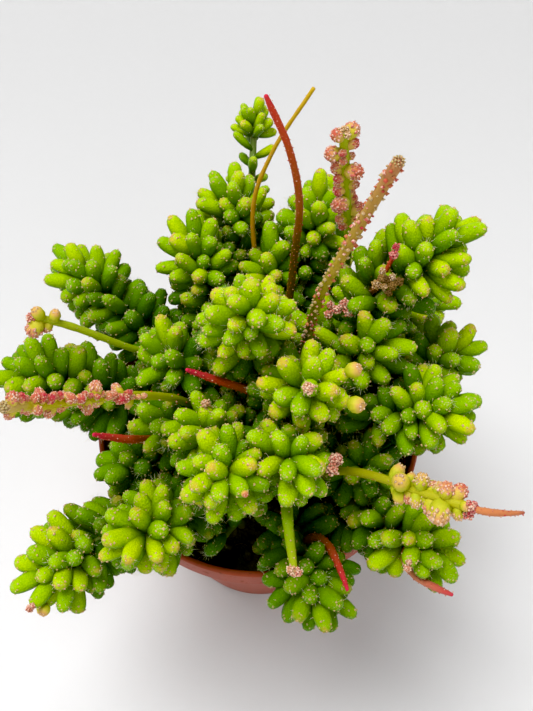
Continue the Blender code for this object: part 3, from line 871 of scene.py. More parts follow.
TALL_SHOOTS = (
    TallShoot("red_shoot_tall", 0.0011, 0.0008, "shoot_red",
              ((7, 13), (9, 20, 112), (11, 27, 142), (12, 28, 166), (9, 31, 184), (3, 35, 199))),
    TallShoot("thin_shoot_back", 0.0008, 0.0006, "shoot_yellow_brown",
              ((2, 27), (2, 32, 104), (-1, 47, 138), (5, 56, 156), (17, 63, 175))),
    TallShoot("budded_stem_back", 0.0012, 0.0013, "stem_fresh_green",
              ((16, 20), (26, 30, 118), (27, 30, 145), (25, 32, 166), (23, 35, 186)), 0.034, 0.002),
    TallShoot("thick_stem_right", 0.0014, 0.0018, "stem_brownish_green",
              ((8, 0), (12, 1, 118), (16, 1, 158), (22, 3, 178), (27, 3, 196), (31, 2, 211))),
    TallShoot("budded_stem_left", 0.0013, 0.0016, "stem_brownish_green",
              ((-13, -6), (-20, -11, 124), (-34, -21, 149), (-48, -35, 172), (-55, -42, 184)), 0.052, 0.0013),
    TallShoot("budded_stem_left_back", 0.001, 0.0011, "stem_fresh_green",
              ((-19, 9), (-26, 8, 114), (-40, 6, 130), (-52, 6, 140), (-62, 6, 146)), 0.007, 0.0019),
    TallShoot("budded_stem_right", 0.0013, 0.0015, "stem_fresh_green",
              ((12, -20), (17, -28, 112), (27, -38, 135), (40, -48, 146), (51, -54, 150)), 0.024, 0.0021),
)


@dataclass(frozen=True)
class SideShoot:
    """A thin young shoot that springs from the side of another stem, `back`
    millimetres behind that stem's tip, and runs to its own end. The radius is
    in metres."""

    name: str
    parent: str
    back: float
    end: tuple
    radius: float
    slot: str = "shoot_red"


SIDE_SHOOTS = (
    SideShoot("red_shoot_middle", "leafy_stem_crown_right", 22, (-19, -13, 148), 0.001),
    SideShoot("red_shoot_left", "leafy_stem_left_middle", 6, (-46, -23, 130), 0.001),
    SideShoot("red_shoot_right", "budded_stem_right", 0, (65, -54, 146), 0.0009),
    SideShoot("red_shoot_front", "leafy_stem_front_over_rim", 16, (23, -64, 117), 0.0009),
    SideShoot("red_shoot_front_right", "leafy_stem_front_right", 6, (50, -67, 121), 0.0009),
    SideShoot("pale_shoot_front", "leafy_stem_front_inner", 8, (8, -66, 141), 0.0011, "stem_fresh_green"),
    SideShoot("red_shoot_right_back", "leafy_stem_right_back_inner", 4, (39, 18, 161), 0.0008),
)
print(len(LEAFY_STEMS), "leafy stems,", len(TALL_SHOOTS), "tall and", len(SIDE_SHOOTS), "side shoots")

# %% [markdown]
# A stem's centre line could be a Blender curve, but the growth rule has to ask it where a point lies
# so many millimetres behind the tip. A small class answers that from a list of points.

# %% The centre lines
STEM_SUNK = 0.0140
STEM_COLLAR = 0.002
STEM_STATIONS = 6
FINE_STATIONS = 40
STEM_RADIUS = 0.0015
STEM_TIP_RADIUS = 0.0011
SHOOT_GAP = 0.00035
UP = Vector((0.0, 0.0, 1.0))


class Route:
    """The centre line of a stem, read by the distance back from its tip."""

    def __init__(self, points):
        self.points = [Vector(point) for point in points]
        steps = [(b - a).length for a, b in zip(self.points, self.points[1:])]
        self.behind = [sum(steps[index:]) for index in range(len(self.points))]

    @property
    def length(self):
        """The whole length of the route."""
        return self.behind[0]

    def at(self, back):
        """Point and forward direction `back` metres behind the tip."""
        for index in range(len(self.points) - 2, -1, -1):
            if back <= self.behind[index] or index == 0:
                start, end = self.points[index], self.points[index + 1]
                along = (end - start).normalized()
                return end - along * (back - self.behind[index + 1]), along


def direction(tilt, toward):
    """Unit vector `tilt` degrees off upright toward a compass angle."""
    tilt, toward = math.radians(tilt), math.radians(toward)
    side = math.sin(tilt)
    return Vector((side * math.cos(toward), side * math.sin(toward), math.cos(tilt)))


def leafy_route(stem, stations=STEM_STATIONS):
    """Upright from its hole in the soil, then in one bend to the tip."""
    knee = Vector((*stem.foot, SOIL_TOP + STEM_COLLAR))
    tip = Vector(stem.tip)
    reach = (tip - knee).length
    bend = interpolate_bezier(
        knee, knee + UP * 0.45 * reach, tip - direction(stem.tilt, stem.toward) * 0.4 * reach,
        tip, stations)
    return Route([knee - UP * (STEM_SUNK + STEM_COLLAR)] + bend)


def smooth_through(points, steps):
    """Points of a smooth curve through the given ones."""
    ends = [2 * points[0] - points[1]] + points + [2 * points[-1] - points[-2]]
    smooth = [points[0]]
    for a, b, c, d in zip(ends, ends[1:], ends[2:], ends[3:]):
        smooth += interpolate_bezier(b, b + (c - a) / 6, c - (d - b) / 6, c, steps + 1)[1:]
    return smooth


def tall_route(shoot, steps=2):
    """Upright from its hole in the soil, then through the points of its route."""
    knee = Vector((*metres(*shoot.route[0]), SOIL_TOP + STEM_COLLAR))
    above = [Vector(metres(*point)) for point in shoot.route[1:]]
    return Route([knee - UP * (STEM_SUNK + STEM_COLLAR)] + smooth_through([knee] + above, steps))


def side_route(shoot, parent, stations=5):
    """From just off the parent's skin to the shoot's own end, lightly arched."""
    tall_radii = {tall.name: tall.tip_radius for tall in TALL_SHOOTS}
    parent_radius = tall_radii.get(shoot.parent, STEM_RADIUS)
    joint, along = parent.at(shoot.back / 1000)
    end = Vector(metres(*shoot.end))
    away = end - joint
    if shoot.back > 0.0:
        away -= along * away.dot(along)
        start = joint + away.normalized() * (parent_radius + SHOOT_GAP)
    else:
        start = joint + along * SHOOT_GAP
        away = along
    reach = (end - start).length
    rise = start + away.normalized() * 0.35 * reach
    fall = end - (end - rise).normalized() * 0.3 * reach
    return Route(interpolate_bezier(start, rise, fall, end, stations))


def all_routes():
    """Centre lines of every stem and shoot by name."""
    routes = {stem.name: leafy_route(stem) for stem in LEAFY_STEMS}
    routes.update({shoot.name: tall_route(shoot) for shoot in TALL_SHOOTS})
    for shoot in SIDE_SHOOTS:
        routes[shoot.name] = side_route(shoot, routes[shoot.parent])
    return routes


ROUTES = all_routes()
print(len(ROUTES), "centre lines, the longest", round(1000 * max(r.length for r in ROUTES.values())), "mm")

# %% [markdown]
# On the real plant the segments press against each other and never pass through. Each candidate is
# read as a row of balls and is set down only where its balls keep clear of all the others. Where it
# doesn't fit, it is turned, leaned or made a little smaller, as a real one grows into the free space.

# %% The crowd
CLEARANCE = 0.00035
BALL_SPACING = 0.0012


class Crowd:
    """Balls along everything that stands, by which a new piece is fitted in."""

    def __init__(self):
        self.centres = np.empty((0, 3))
        self.radii = np.empty(0)
        self.owners = np.empty(0, dtype=object)
        self.spaced = np.empty(0, dtype=bool)

    def add(self, owner, centres, radii, spaced):
        """Adds balls with their owner, and whether each is spaced from the owner's others."""
        self.centres = np.vstack((self.centres, centres))
        self.radii = np.append(self.radii, radii)
        self.owners = np.append(self.owners, [owner] * len(radii))
        self.spaced = np.append(self.spaced, spaced)

    def near(self, owner, point, reach):
        """The part of the crowd round a point: its balls, which are the owner's
        own, and which of those are spaced."""
        close = np.linalg.norm(self.centres - np.array(point), axis=1) < reach
        return (self.centres[close], self.radii[close][:, None],
                (self.owners[close] == owner)[:, None], self.spaced[close][:, None])


OUTER_BALLS = slice(5, 8)
EVERY_BALL = slice(None)


def is_clear(near, balls, fit):
    """Whether balls keep clear of the nearby part of the crowd. The outer ones
    are tried first, because they are the ones that meet others most."""
    crowd_centres, crowd_radii, own, crowd_spaced = near
    squares = (crowd_centres ** 2).sum(axis=1)[:, None]
    for part in (OUTER_BALLS, EVERY_BALL):
        centres, radii, spaced = (values[part] for values in balls)
        apart = squares + (centres ** 2).sum(axis=1) - 2.0 * crowd_centres @ centres.T
        touch = crowd_radii + radii
        own_need = np.where(crowd_spaced & spaced, fit.own_spacing * touch, 0.0)
        need = np.where(own, own_need, touch + fit.clearance)
        if not np.all(apart > need * need):
            return False
    return True


def clear_of_pot(centres, radii):
    """Whether balls keep clear of the pot's wall, its rim band and the soil."""
    out = np.hypot(centres[:, 0], centres[:, 1])
    spots = np.column_stack((out, centres[:, 2]))
    walls = (
        ((FOOT_RADIUS - WALL / 2, 0.0), (inner_wall_radius(SHOULDER) + WALL / 2, SHOULDER), WALL),
        ((RIM_RADIUS - RIM_THICKNESS, SHOULDER - WALL), (RIM_RADIUS - RIM_THICKNESS, POT_HEIGHT - 0.001),
         2 * RIM_THICKNESS),
    )
    for start, end, thickness in walls:
        start, run = np.array(start), np.array(end) - np.array(start)
        share = np.clip((spots - start) @ run / (run @ run), 0.0, 1.0)
        apart = np.linalg.norm(spots - start - share[:, None] * run, axis=1)
        if np.any(apart < radii + thickness / 2 + CLEARANCE):
            return False
    over_soil = out < RIM_RADIUS
    soil_limit = SOIL_TOP + SOIL_CROWN + CLEARANCE
    return not np.any(over_soil & (centres[:, 2] - radii < soil_limit))


def ball_chain(route, radius):
    """Balls along a whole route, closer together than they are wide."""
    count = max(2, int(route.length / BALL_SPACING))
    centres = np.array([route.at(route.length * index / count)[0] for index in range(count + 1)])
    return centres, np.full(count + 1, radius), np.zeros(count + 1, dtype=bool)


def bar_crowd():
    """The crowd of bare stems and shoots, before anything grows on them."""
    crowd = Crowd()
    thickest = {shoot.name: max(shoot.foot_radius, shoot.tip_radius) for shoot in TALL_SHOOTS}
    thickest.update({shoot.name: shoot.radius for shoot in SIDE_SHOOTS})
    for name, route in ROUTES.items():
        crowd.add(name, *ball_chain(route, thickest.get(name, STEM_RADIUS)))
    return crowd


crowd = bar_crowd()
print(len(crowd.radii), "balls along the bare stems")

# %% The growth rule
SEGMENT_LENGTH = 0.0145
SEGMENT_RADIUS = 0.0025
SEGMENT_PITCH = 0.0034
GOLDEN_TURN = math.radians(137.508)
WIDEST_LEAN = math.radians(70.0)
LEAN_REACH = 0.0070
BUD_GAP = 0.0012
BUD_LEAN = 1.25
LEAST_LEAN = 0.05
NEAR_MARGIN = 0.004
BOX_MARGIN = 0.0012
SEED = 7


def nudges(sizes, turns, tilt):
    """Ways to nudge a segment that doesn't fit, the gentlest first: turn, lean and size."""
    return [(turn * side, lean, size) for size in sizes for turn in turns
            for lean in (0.0, -tilt, tilt) for side in (1, -1) if turn or side == 1]


@dataclass(frozen=True)
class Fit:
    """How a body may be fitted in: the nudges it may take, how close the bodies of one
    stem may come, its gap to all others, the share of its length from which it has to
    keep clear of its own stem's, and whether it has to stay in the model's box."""

    nudges: list
    own_spacing: float
    clearance: float
    free_share: float
    boxed: bool = True


FIRST_FIT = Fit(nudges((1.0, 0.86, 0.74), (0.0, 0.3, 0.6, 0.9), 0.25), 0.86, CLEARANCE, 0.45, False)


@dataclass(frozen=True)
class Segment:
    """A plump body from its root, on the centre line, out to its tip, and how
    far behind the stem's tip it grows."""

    root: Vector
    along: Vector
    length: float
    radius: float
    back: float

    @property
    def crown(self):
        """The segment's outer end."""
        return self.root + self.along * self.length


def plumpness(share):
    """Width of a segment, as a share of its widest, along its length."""
    return np.minimum(1.0, (5.5 * share * (1.0 - share)) ** 0.5)


def segment_balls(segment, free_share):
    """Balls along a segment: their centres, their radii and which of them are free."""
    shares = np.linspace(0.22, 0.95, 9)
    centres = np.array([segment.root + segment.along * segment.length * share for share in shares])
    return centres, segment.radius * plumpness(shares), shares > free_share


def leaning(along, turn, lean):
    """Direction that leans off the centre line, turned round it."""
    across = along.orthogonal().normalized()
    around = along.cross(across)
    side = across * math.cos(turn) + around * math.sin(turn)
    return along * math.cos(lean) + side * math.sin(lean)


def inside_box(centres, radii):
    """Whether balls stay in the model's box, give or take a small margin."""
    low, high = np.array(cad_low) - BOX_MARGIN, np.array(cad_high) + BOX_MARGIN
    return bool(np.all(centres - radii[:, None] > low) and np.all(centres + radii[:, None] < high))


def fitted(owner, place, fit):
    """The first nudged form of a body that touches nothing else, if any."""
    back, turn, lean, length, radius = place
    point, along = ROUTES[owner].at(back)
    near = crowd.near(owner, point, length + 2 * SEGMENT_RADIUS + NEAR_MARGIN)
    for more_turn, more_lean, size in fit.nudges:
        aim = leaning(along, turn + more_turn, max(LEAST_LEAN, lean + more_lean))
        segment = Segment(point, aim, length * size, radius * math.sqrt(size), back)
        balls = segment_balls(segment, fit.free_share)
        if fit.boxed and not inside_box(*balls[:2]):
            continue
        if clear_of_pot(*balls[:2]) and is_clear(near, balls, fit):
            crowd.add(owner, *balls)
            return segment
    return None


def grown(owner, places, fit):
    """The bodies that find room on a stem. A place is how far it is behind the
    tip, then a turn, a lean, a length and a radius."""
    return [body for body in (fitted(owner, place, fit) for place in places) if body]


def place_on(stem, rng, back, turn, lean, lengths, radii):
    """A place for a segment, with a length and a radius drawn for it."""
    length = SEGMENT_LENGTH * stem.scale * rng.uniform(*lengths)
    return back, turn, lean, length, SEGMENT_RADIUS * stem.scale * rng.uniform(*radii)


def segment_places(stem, rng):
    """By the golden angle, from the stem's tip back down its leafy end."""
    first_turn = rng.uniform(0.0, math.tau)
    for index in range(int(stem.leafy / (SEGMENT_PITCH * stem.scale))):
        back = SEGMENT_PITCH * stem.scale * (index + 0.2)
        turn = first_turn + index * GOLDEN_TURN + rng.uniform(-0.15, 0.15)
        lean = WIDEST_LEAN * (1.0 - math.exp(-(back + 0.0008) / LEAN_REACH)) + rng.uniform(-0.1, 0.1)
        yield place_on(stem, rng, back, turn, lean, (0.86, 1.12), (0.92, 1.06))


def bud_places(shoot, rng):
    """By the golden angle along the budded end of a bare stem."""
    pitch = 2.0 * shoot.bud_radius + BUD_GAP
    for index in range(int(shoot.budded / pitch)):
        radius = shoot.bud_radius * rng.uniform(0.8, 1.15)
        yield pitch * (index + 0.4), index * GOLDEN_TURN, BUD_LEAN, shoot.foot_radius + 1.9 * radius, radius


def first_growth(items, places_of):
    """What grows on each stem in the CAD as well, by the stem's name."""
    return {item.name: grown(item.name, places_of(item, random.Random(f"{SEED} {item.name}")), FIRST_FIT)
            for item in items}


BUDS = first_growth(TALL_SHOOTS, bud_places)
BUDS.update({shoot.name: [] for shoot in SIDE_SHOOTS})
SEGMENTS = first_growth(LEAFY_STEMS, segment_places)
print(sum(map(len, SEGMENTS.values())), "segments and", sum(map(len, BUDS.values())), "buds, as in the CAD")

# %% [markdown]
# The CAD carries only about one segment in five, so that its solids stay light. The living plant
# is packed full. A second round tries many more places on each stem and keeps whatever still fits
# between the first ones, inside the model's own box.

# %% The second growth
DOME_COUNT = 28
DOME_EDGE = math.radians(78.0)
DOME_DEPTH = 0.0085
SIDE_PITCH = 0.00085
FILL_CLEARANCE = -0.00045
FILL_LENGTHS, FILL_RADII = (0.80, 1.08), (0.90, 1.12)
SPARSE = {"leafy_stem_back_young": 16, "leafy_stem_front_low": 0}
SMALLER = {"leafy_stem_back_young": 0.80}
SMALL_NUDGES = nudges((1.0, 0.87, 0.76), (0.0, 0.14, 0.3, 0.5), 0.14)
FILL_FIT = Fit(SMALL_NUDGES, 0.84, FILL_CLEARANCE, 0.58)


def fill_dome(stem, rng):
    """Places spread evenly over the round end of a stem, like seeds on a sunflower."""
    first_turn = rng.uniform(0.0, math.tau)
    count = SPARSE.get(stem.name, DOME_COUNT)
    for index in range(count):
        share = (index + 0.5) / count
        lean = math.acos(1.0 - share * (1.0 - math.cos(DOME_EDGE)))
        back = stem.scale * (0.0006 + DOME_DEPTH * (lean / DOME_EDGE) ** 1.4)
        turn = first_turn + index * GOLDEN_TURN + rng.uniform(-0.1, 0.1)
        lean += rng.uniform(-0.06, 0.06)
        yield place_on(stem, rng, back, turn, lean, FILL_LENGTHS, FILL_RADII)


def fill_sides(stem, rng):
    """Places down the rest of the stem's leafy end."""
    if stem.name in SPARSE:
        return
    first_turn = rng.uniform(0.0, math.tau)
    for index in range(int((stem.leafy / stem.scale - DOME_DEPTH) / SIDE_PITCH)):
        back = stem.scale * (DOME_DEPTH + SIDE_PITCH * index)
        turn = first_turn + index * GOLDEN_TURN + rng.uniform(-0.2, 0.2)
        lean = WIDEST_LEAN + rng.uniform(-0.3, 0.15)
        yield place_on(stem, rng, back, turn, lean, FILL_LENGTHS, FILL_RADII)


for fill in (fill_dome, fill_sides):
    for stem in LEAFY_STEMS:
        rng = random.Random(f"{SEED} {stem.name} {fill.__name__}")
        SEGMENTS[stem.name] += grown(stem.name, fill(stem, rng), FILL_FIT)
    print(sum(map(len, SEGMENTS.values())), "segments after", fill.__name__)

# %% [markdown]
# One segment is a small green barrel with a narrow root and a blunt crown. Its areoles, the small
# felted cushions that every cactus has, stand in a spiral on its sides and crowd together on the
# crown, and from them grow fine white bristles. Fourteen different ones are shaped once. Each place
# on the plant then gets one of them, turned and stretched a little, so no two look the same.

# %% The shape of a segment
SEGMENT_SIDES = 13
SECTION = ((0.03, 0.34), (0.12, 0.54), (0.28, 0.79), (0.46, 0.95), (0.62, 1.00),
           (0.76, 0.96), (0.87, 0.84), (0.945, 0.64), (0.985, 0.36))
FORM_COUNT = 14
BRISTLE_RADIUS = 0.00004
LOWER_PART, UPPER_PART = 0.55, 0.45
SHORT_BRISTLES, TUFT_BRISTLES = (0.0006, 0.0016), (0.0012, 0.0026)
BRISTLED_SHARE = 0.4
TUFT_COUNT = 12
MOST_BEND = 0.0009
MOST_FLAT = 0.05
SIDE_AREOLES, CROWN_AREOLES = 5, 9
CROWN_DEPTH = 0.175
AREOLE_RISE, AREOLE_REACH = 0.00016, 0.0010
PAD_RADIUS, PAD_SUNK = 0.00028, 0.00002
SKIN, FELT, BRISTLE, SCALE, FLESH, BARK = range(6)


def swell(share):
    """Radius of the barrel at a share of its length, in its own widest radius."""
    return float(np.interp(share, [0.0] + [s for s, _ in SECTION] + [1.0],
                           [0.2] + [r for _, r in SECTION] + [0.0]))


def bead(rng, size, spot, slot):
    """A tiny rough body of eight faces."""
    rough = np.array([rng.uniform(0.75, 1.25) for _ in BEAD_POINTS])[:, None]
    return one_finish(BEAD_POINTS * rough * size + spot, BEAD_FACES, slot)


def bristle(foot, middle, end):
    """A closed three-sided bristle, bent once, that ends in a point."""
    across = (middle - foot).orthogonal().normalized() * BRISTLE_RADIUS
    beside = (middle - foot).normalized().cross(across)
    ring = [across * math.cos(math.tau * side / 3) + beside * math.sin(math.tau * side / 3)
            for side in range(3)]
    points = [foot + spot for spot in ring] + [middle + spot * 0.8 for spot in ring] + [end]
    faces = [(2, 1, 0, -1)]
    for side in range(3):
        after = (side + 1) % 3
        faces += [(side, after, after + 3, side + 3), (side + 3, after + 3, 6, -1)]
    return one_finish(np.array([point[:] for point in points]), corners_of(faces), BRISTLE)


class Barrel:
    """One shape of segment: bent a little, out of round, with its areoles."""

    def __init__(self, rng, hairy):
        self.rng = rng
        self.bend = rng.uniform(0.0, MOST_BEND)
        self.flat = rng.uniform(-MOST_FLAT, MOST_FLAT)
        self.phase = rng.uniform(0.0, math.tau)
        self.hairy = hairy
        self.areoles = self.place_areoles()

    def place_areoles(self):
        """Shares, turns and sizes of the areoles: a spiral on the sides and a crowded crown."""
        first = self.rng.uniform(0.0, math.tau)
        sides = [(0.34 + 0.10 * index + self.rng.uniform(-0.02, 0.02), first + index * GOLDEN_TURN, 0.80)
                 for index in range(SIDE_AREOLES)]
        crown = [(1.0 - CROWN_DEPTH * self.rng.random() ** 1.1,
                  first + index * GOLDEN_TURN + self.rng.uniform(-0.4, 0.4),
                  self.rng.uniform(0.8, 1.7)) for index in range(CROWN_AREOLES)]
        return sides + crown

    def point(self, share, turn, out=0.0):
        """A place on the skin, or `out` metres off it, for a full-size segment."""
        radius = SEGMENT_RADIUS * swell(share)
        radius *= 1.0 + self.flat * math.cos(2 * turn + self.phase)
        radius *= 1.0 + 0.02 * math.sin(3 * turn + 9.0 * share + self.phase)
        for spot_share, spot_turn, _ in self.areoles[:SIDE_AREOLES]:
            around = (turn - spot_turn + math.pi) % math.tau - math.pi
            gap = math.hypot((share - spot_share) * SEGMENT_LENGTH, around * radius)
            radius += AREOLE_RISE * math.exp(-(gap / AREOLE_REACH) ** 2)
        radius += out
        lean = self.bend * math.sin(math.pi * share)
        lift = SEGMENT_LENGTH * share + out * (share > 0.8) * (share - 0.8) * 5.0
        return np.array((radius * math.cos(turn) + lean, radius * math.sin(turn), lift))

    def skin(self):
        """The barrel itself, from its root to its crown."""
        points = [self.point(share, math.tau * side / SEGMENT_SIDES)
                  for share, _ in SECTION for side in range(SEGMENT_SIDES)]
        points += [np.zeros(3), np.array((0.0, 0.0, SEGMENT_LENGTH))]
        return one_finish(np.array(points), tube_faces(len(SECTION), SEGMENT_SIDES), SKIN)

    def pad(self, share, turn, size):
        """A felted cushion half sunk in the skin."""
        return bead(self.rng, PAD_RADIUS * size, self.point(share, turn, -PAD_SUNK), FELT)

    def spike(self, share, turn, length):
        """A bristle of three sides that leans toward the crown."""
        foot = Vector(self.point(share, turn, 0.0))
        out = Vector((math.cos(turn), math.sin(turn), 0.25 + 1.6 * max(0.0, share - 0.6)))
        stray = Vector([self.rng.uniform(-0.55, 0.55) for _ in range(3)])
        way = (out.normalized() + stray).normalized()
        sag = Vector([self.rng.uniform(-0.25, 0.25) for _ in range(3)])
        middle = foot + way * length * LOWER_PART
        return bristle(foot, middle, middle + (way + sag).normalized() * length * UPPER_PART)

    def spikes(self):
        """A few bristles on the areoles, and a tuft more on the crown of a hairy one."""
        for share, turn, _ in self.areoles:
            if self.rng.random() < BRISTLED_SHARE:
                yield self.spike(share, turn, self.rng.uniform(*SHORT_BRISTLES))
        for _ in range(TUFT_COUNT if self.hairy else 0):
            share = self.rng.uniform(0.80, 0.99)
            yield self.spike(share, self.rng.uniform(0.0, math.tau), self.rng.uniform(*TUFT_BRISTLES))

    def body(self):
        """Skin, areoles and bristles as one body."""
        whole = joined([self.skin()] + [self.pad(*areole) for areole in self.areoles]
                       + list(self.spikes()))
        whole.along = np.clip(whole.points[:, 2] / SEGMENT_LENGTH, 0.0, 1.0)
        return whole


FORMS = [Barrel(random.Random(f"barrel {index}"), index % 6 == 5).body() for index in range(FORM_COUNT)]
print(FORM_COUNT, "segment shapes of about", sum(len(form.faces) for form in FORMS) // FORM_COUNT, "faces")

# %% [markdown]
# The skin of a segment is waxy and juicy. Young ones are yellow-green, old ones deep green, and shaded ones
# are painted deep green as painted shade. Each is painted darker toward its root, deeper green of its own and
# painted shade where the segments crowd, and is paler at its crown, some with a pink or tan blush. The mesh
# carries how far along, how old and how shaded, and which one a point belongs to, and noise adds the grain.
# Which way the skin faces
# is a mask as well: skin facing up is painted yellower as painted light, and skin facing down deeper green as
# painted shade.

# %% The segments' skin
def segment_skin():
    """Waxy green, by how far along, how old and how shaded it is, with painted light on the skin that faces
    up, painted shade below and at the root, specks and a blush.
    """
    material, web = new_finish("segment_green")
    along, tone, age = (mesh_value(web, name) for name in VALUE_NAMES)
    grain = cells(web, 0.00055)
    blotch = cloud(web, 0.0022, 4.0, 0.6)
    fine = cloud(web, 0.00040, 3.0, 0.6)
    facing = web.node("ShaderNodeNewGeometry", output="Normal")
    # painted light and shade: by the normal, skin facing up is painted lighter and yellower, skin facing down
    # darker
    painted_top_light = facing.part("Z").stepped(-0.45, 0.80)
    ramp_place = (tone * 0.46 + (1 - age) * 0.28 + blotch * 0.34 + painted_top_light * 0.14 - 0.20).clamped()
    colour = ramp_place.ramp(
        (0.0, 0.085, 0.235, 0.001), (0.35, 0.195, 0.400, 0.001),
        (0.65, 0.370, 0.580, 0.001), (1.0, 0.640, 0.750, 0.002))
    open_skin = along.stepped(0.35, 0.75) * (1 - age * 0.8)
    speck = grain.stepped(0.34, 0.10) * fine.stepped(0.55, 0.38) * open_skin
    tip = along.stepped(0.88, 0.99) * (1 - age * 0.7)
    blush = tip * tone.stepped(0.50, 0.90) * blotch.stepped(0.42, 0.58)
    bloom = tip * fine.stepped(0.52, 0.60) * grain.stepped(0.60, 0.30)
    colour = layered(
        colour,
        # painted shade on the skin that faces down
        ((1 - painted_top_light) * 0.72, (0.040, 0.150, 0.001)),
        # painted shade deep in the plant, together with the deeper green of real age
        (age.stepped(0.15, 0.85) * 0.88, (0.020, 0.100, 0.001)),
        # darker toward the root: partly the segment's own deeper green, partly painted shade where the
        # segments crowd
        (along.stepped(0.72, 0.12) * 0.94, (0.010, 0.060, 0.001)),
        (fine.stepped(0.40, 0.60) * 0.30, (0.110, 0.290, 0.001)),
        (speck * 0.50, (0.70, 0.80, 0.06)),
        (blush * 0.60, (0.60, 0.26, 0.06)),
        (bloom * 0.50, (0.84, 0.72, 0.38)))
    relief = (1 - grain) * 0.55 + blotch * 0.15 + fine * 0.3
    return set_shader(
        material, Base_Color=colour, Roughness=0.42 + blotch * 0.15,
        Normal=raised(web, relief, 0.00028),
        Subsurface_Weight=0.05, Subsurface_Radius=(0.7, 1.0, 0.05), Subsurface_Scale=0.0010,
        Specular_IOR_Level=0.13, Specular_Tint=(0.95, 1.0, 0.40))


def felt_finish():
    """Beige wool with a pink cast on the young ones, darker with age and with painted shade deep in the
    plant.
    """
    material, web = new_finish("areole_felt")
    tone, age = mesh_value(web, "tone"), mesh_value(web, "age")
    grain = cloud(web, 0.00025, 3.0)
    colour = layered(
        (0.54, 0.42, 0.10),
        (tone, (0.60, 0.28, 0.11)),
        (grain.stepped(0.42, 0.62) * 0.60, (0.86, 0.72, 0.44)),
        # painted shade: felt deep in the plant is darkened, and old felt with it
        (age.stepped(0.20, 0.85) * 0.60, (0.14, 0.16, 0.03)))
    return set_shader(
        material, Base_Color=colour, Roughness=0.85 - grain * 0.1, Normal=raised(web, grain, 0.00008),
        Specular_IOR_Level=0.3, Sheen_Weight=0.3)


def bristle_finish():
    """Off-white bristles."""
    material, web = new_finish("white_bristle")
    grain = cloud(web, 0.0008, 2.0)
    colour = mixed(grain, (0.60, 0.60, 0.38), (0.86, 0.85, 0.66))
    return set_shader(material, Base_Color=colour, Roughness=0.55 + grain * 0.1, Specular_IOR_Level=0.2)


def bark_finish():
    """The stem under the segments: woody brown at the foot, green toward the tip."""
    material, web = new_finish("leafy_stem_bark")
    along = mesh_value(web, "along")
    fibre = cloud(web, 0.0016, 4.0, 0.6, (1.0, 1.0, 0.35))
    colour = layered(
        (0.105, 0.062, 0.030),
        (along.stepped(0.1, 0.75), (0.120, 0.200, 0.018)),
        (fibre.stepped(0.45, 0.7) * 0.5, (0.20, 0.145, 0.055)))
    return set_shader(
        material, Base_Color=colour, Roughness=0.65 + fibre * 0.15, Normal=raised(web, fibre, 0.00012))


def scale_finish():
    """Pink and beige bud scales."""
    material, web = new_finish("bud_scales")
    tone = mesh_value(web, "tone")
    patch = cloud(web, 0.0007, 3.0)
    colour = tone.ramp(
        (0.0, 0.12, 0.055, 0.006),
        (0.10, 0.36, 0.20, 0.040),
        (0.25, 0.62, 0.38, 0.16),
        (0.50, 0.60, 0.21, 0.13),
        (0.85, 0.56, 0.10, 0.085),
        (1.0, 0.50, 0.012, 0.045),
    )
    pale = patch.stepped(0.47, 0.58) * tone.stepped(0.05, 0.15) * (0.80 - tone.stepped(0.85, 1.0) * 0.40)
    colour = mixed(pale, colour, (0.88, 0.66, 0.50))
    return set_shader(
        material, Base_Color=colour, Roughness=0.65 + patch * 0.15, Normal=raised(web, patch, 0.00008),
        Subsurface_Weight=0.1, Subsurface_Radius=(1.0, 0.5, 0.3), Subsurface_Scale=0.0006)


def flesh_finish():
    """The flesh of a bud: green when young, then yellow and orange."""
    material, web = new_finish("bud_flesh")
    tone = mesh_value(web, "tone")
    patch = cloud(web, 0.0012, 3.0)
    along = mesh_value(web, "along")
    ramp_place = (tone * 0.55 + along.stepped(0.35, 1.0) * 0.45 + patch * 0.3 - 0.15).clamped()
    colour = ramp_place.ramp(
        (0.0, 0.34, 0.44, 0.006),
        (0.35, 0.56, 0.50, 0.030),
        (0.60, 0.66, 0.34, 0.120),
        (0.9, 0.50, 0.08, 0.045),
        (1.0, 0.50, 0.015, 0.050),
    )
    return set_shader(
        material, Base_Color=colour, Roughness=0.45 + patch * 0.15, Normal=raised(web, patch, 0.00008),
        Subsurface_Weight=0.1, Subsurface_Radius=(1.0, 0.7, 0.2), Subsurface_Scale=0.0008,
        Specular_IOR_Level=0.2)


SKIN_FINISH, FELT_FINISH = segment_skin(), felt_finish()
BRISTLE_FINISH, BARK_FINISH = bristle_finish(), bark_finish()
SCALE_FINISH, FLESH_FINISH = scale_finish(), flesh_finish()
LEAFY_FINISHES = (SKIN_FINISH, FELT_FINISH, BRISTLE_FINISH, SCALE_FINISH, FLESH_FINISH, BARK_FINISH)
print("finishes:", ", ".join(finish.name for finish in LEAFY_FINISHES))

# %% [markdown]
# Flower buds are small balls under knobbly pink scales, and those that are nearly open are smooth
# with a tinted top. Where they have dried, a bunch of granules is left. Five of each kind are
# shaped once, at unit size.

# %% The shape of a bud
BUD_FORMS = 5
BUD_KNOBS = 30
BERRY_BEADS = 7
CRUST_GRAINS = 34


def rough_ball(rng, form, low, high):
    """A ball's points, each pushed in or out a little."""
    return form * np.array([rng.uniform(low, high) for _ in form])[:, None]


def studded(rng, core, faces, slot, spots, sizes):
    """A core with a bead on each spot. The spots are drawn one by one."""
    beads = [bead(rng, rng.uniform(*sizes), spot, SCALE) for spot in spots]
    return joined([one_finish(core, faces, slot)] + beads)


def round_spot(radius, turn, lift):
    """A spot at a radius and a turn from the axis, and at a height."""
    return radius * math.cos(turn), radius * math.sin(turn), lift


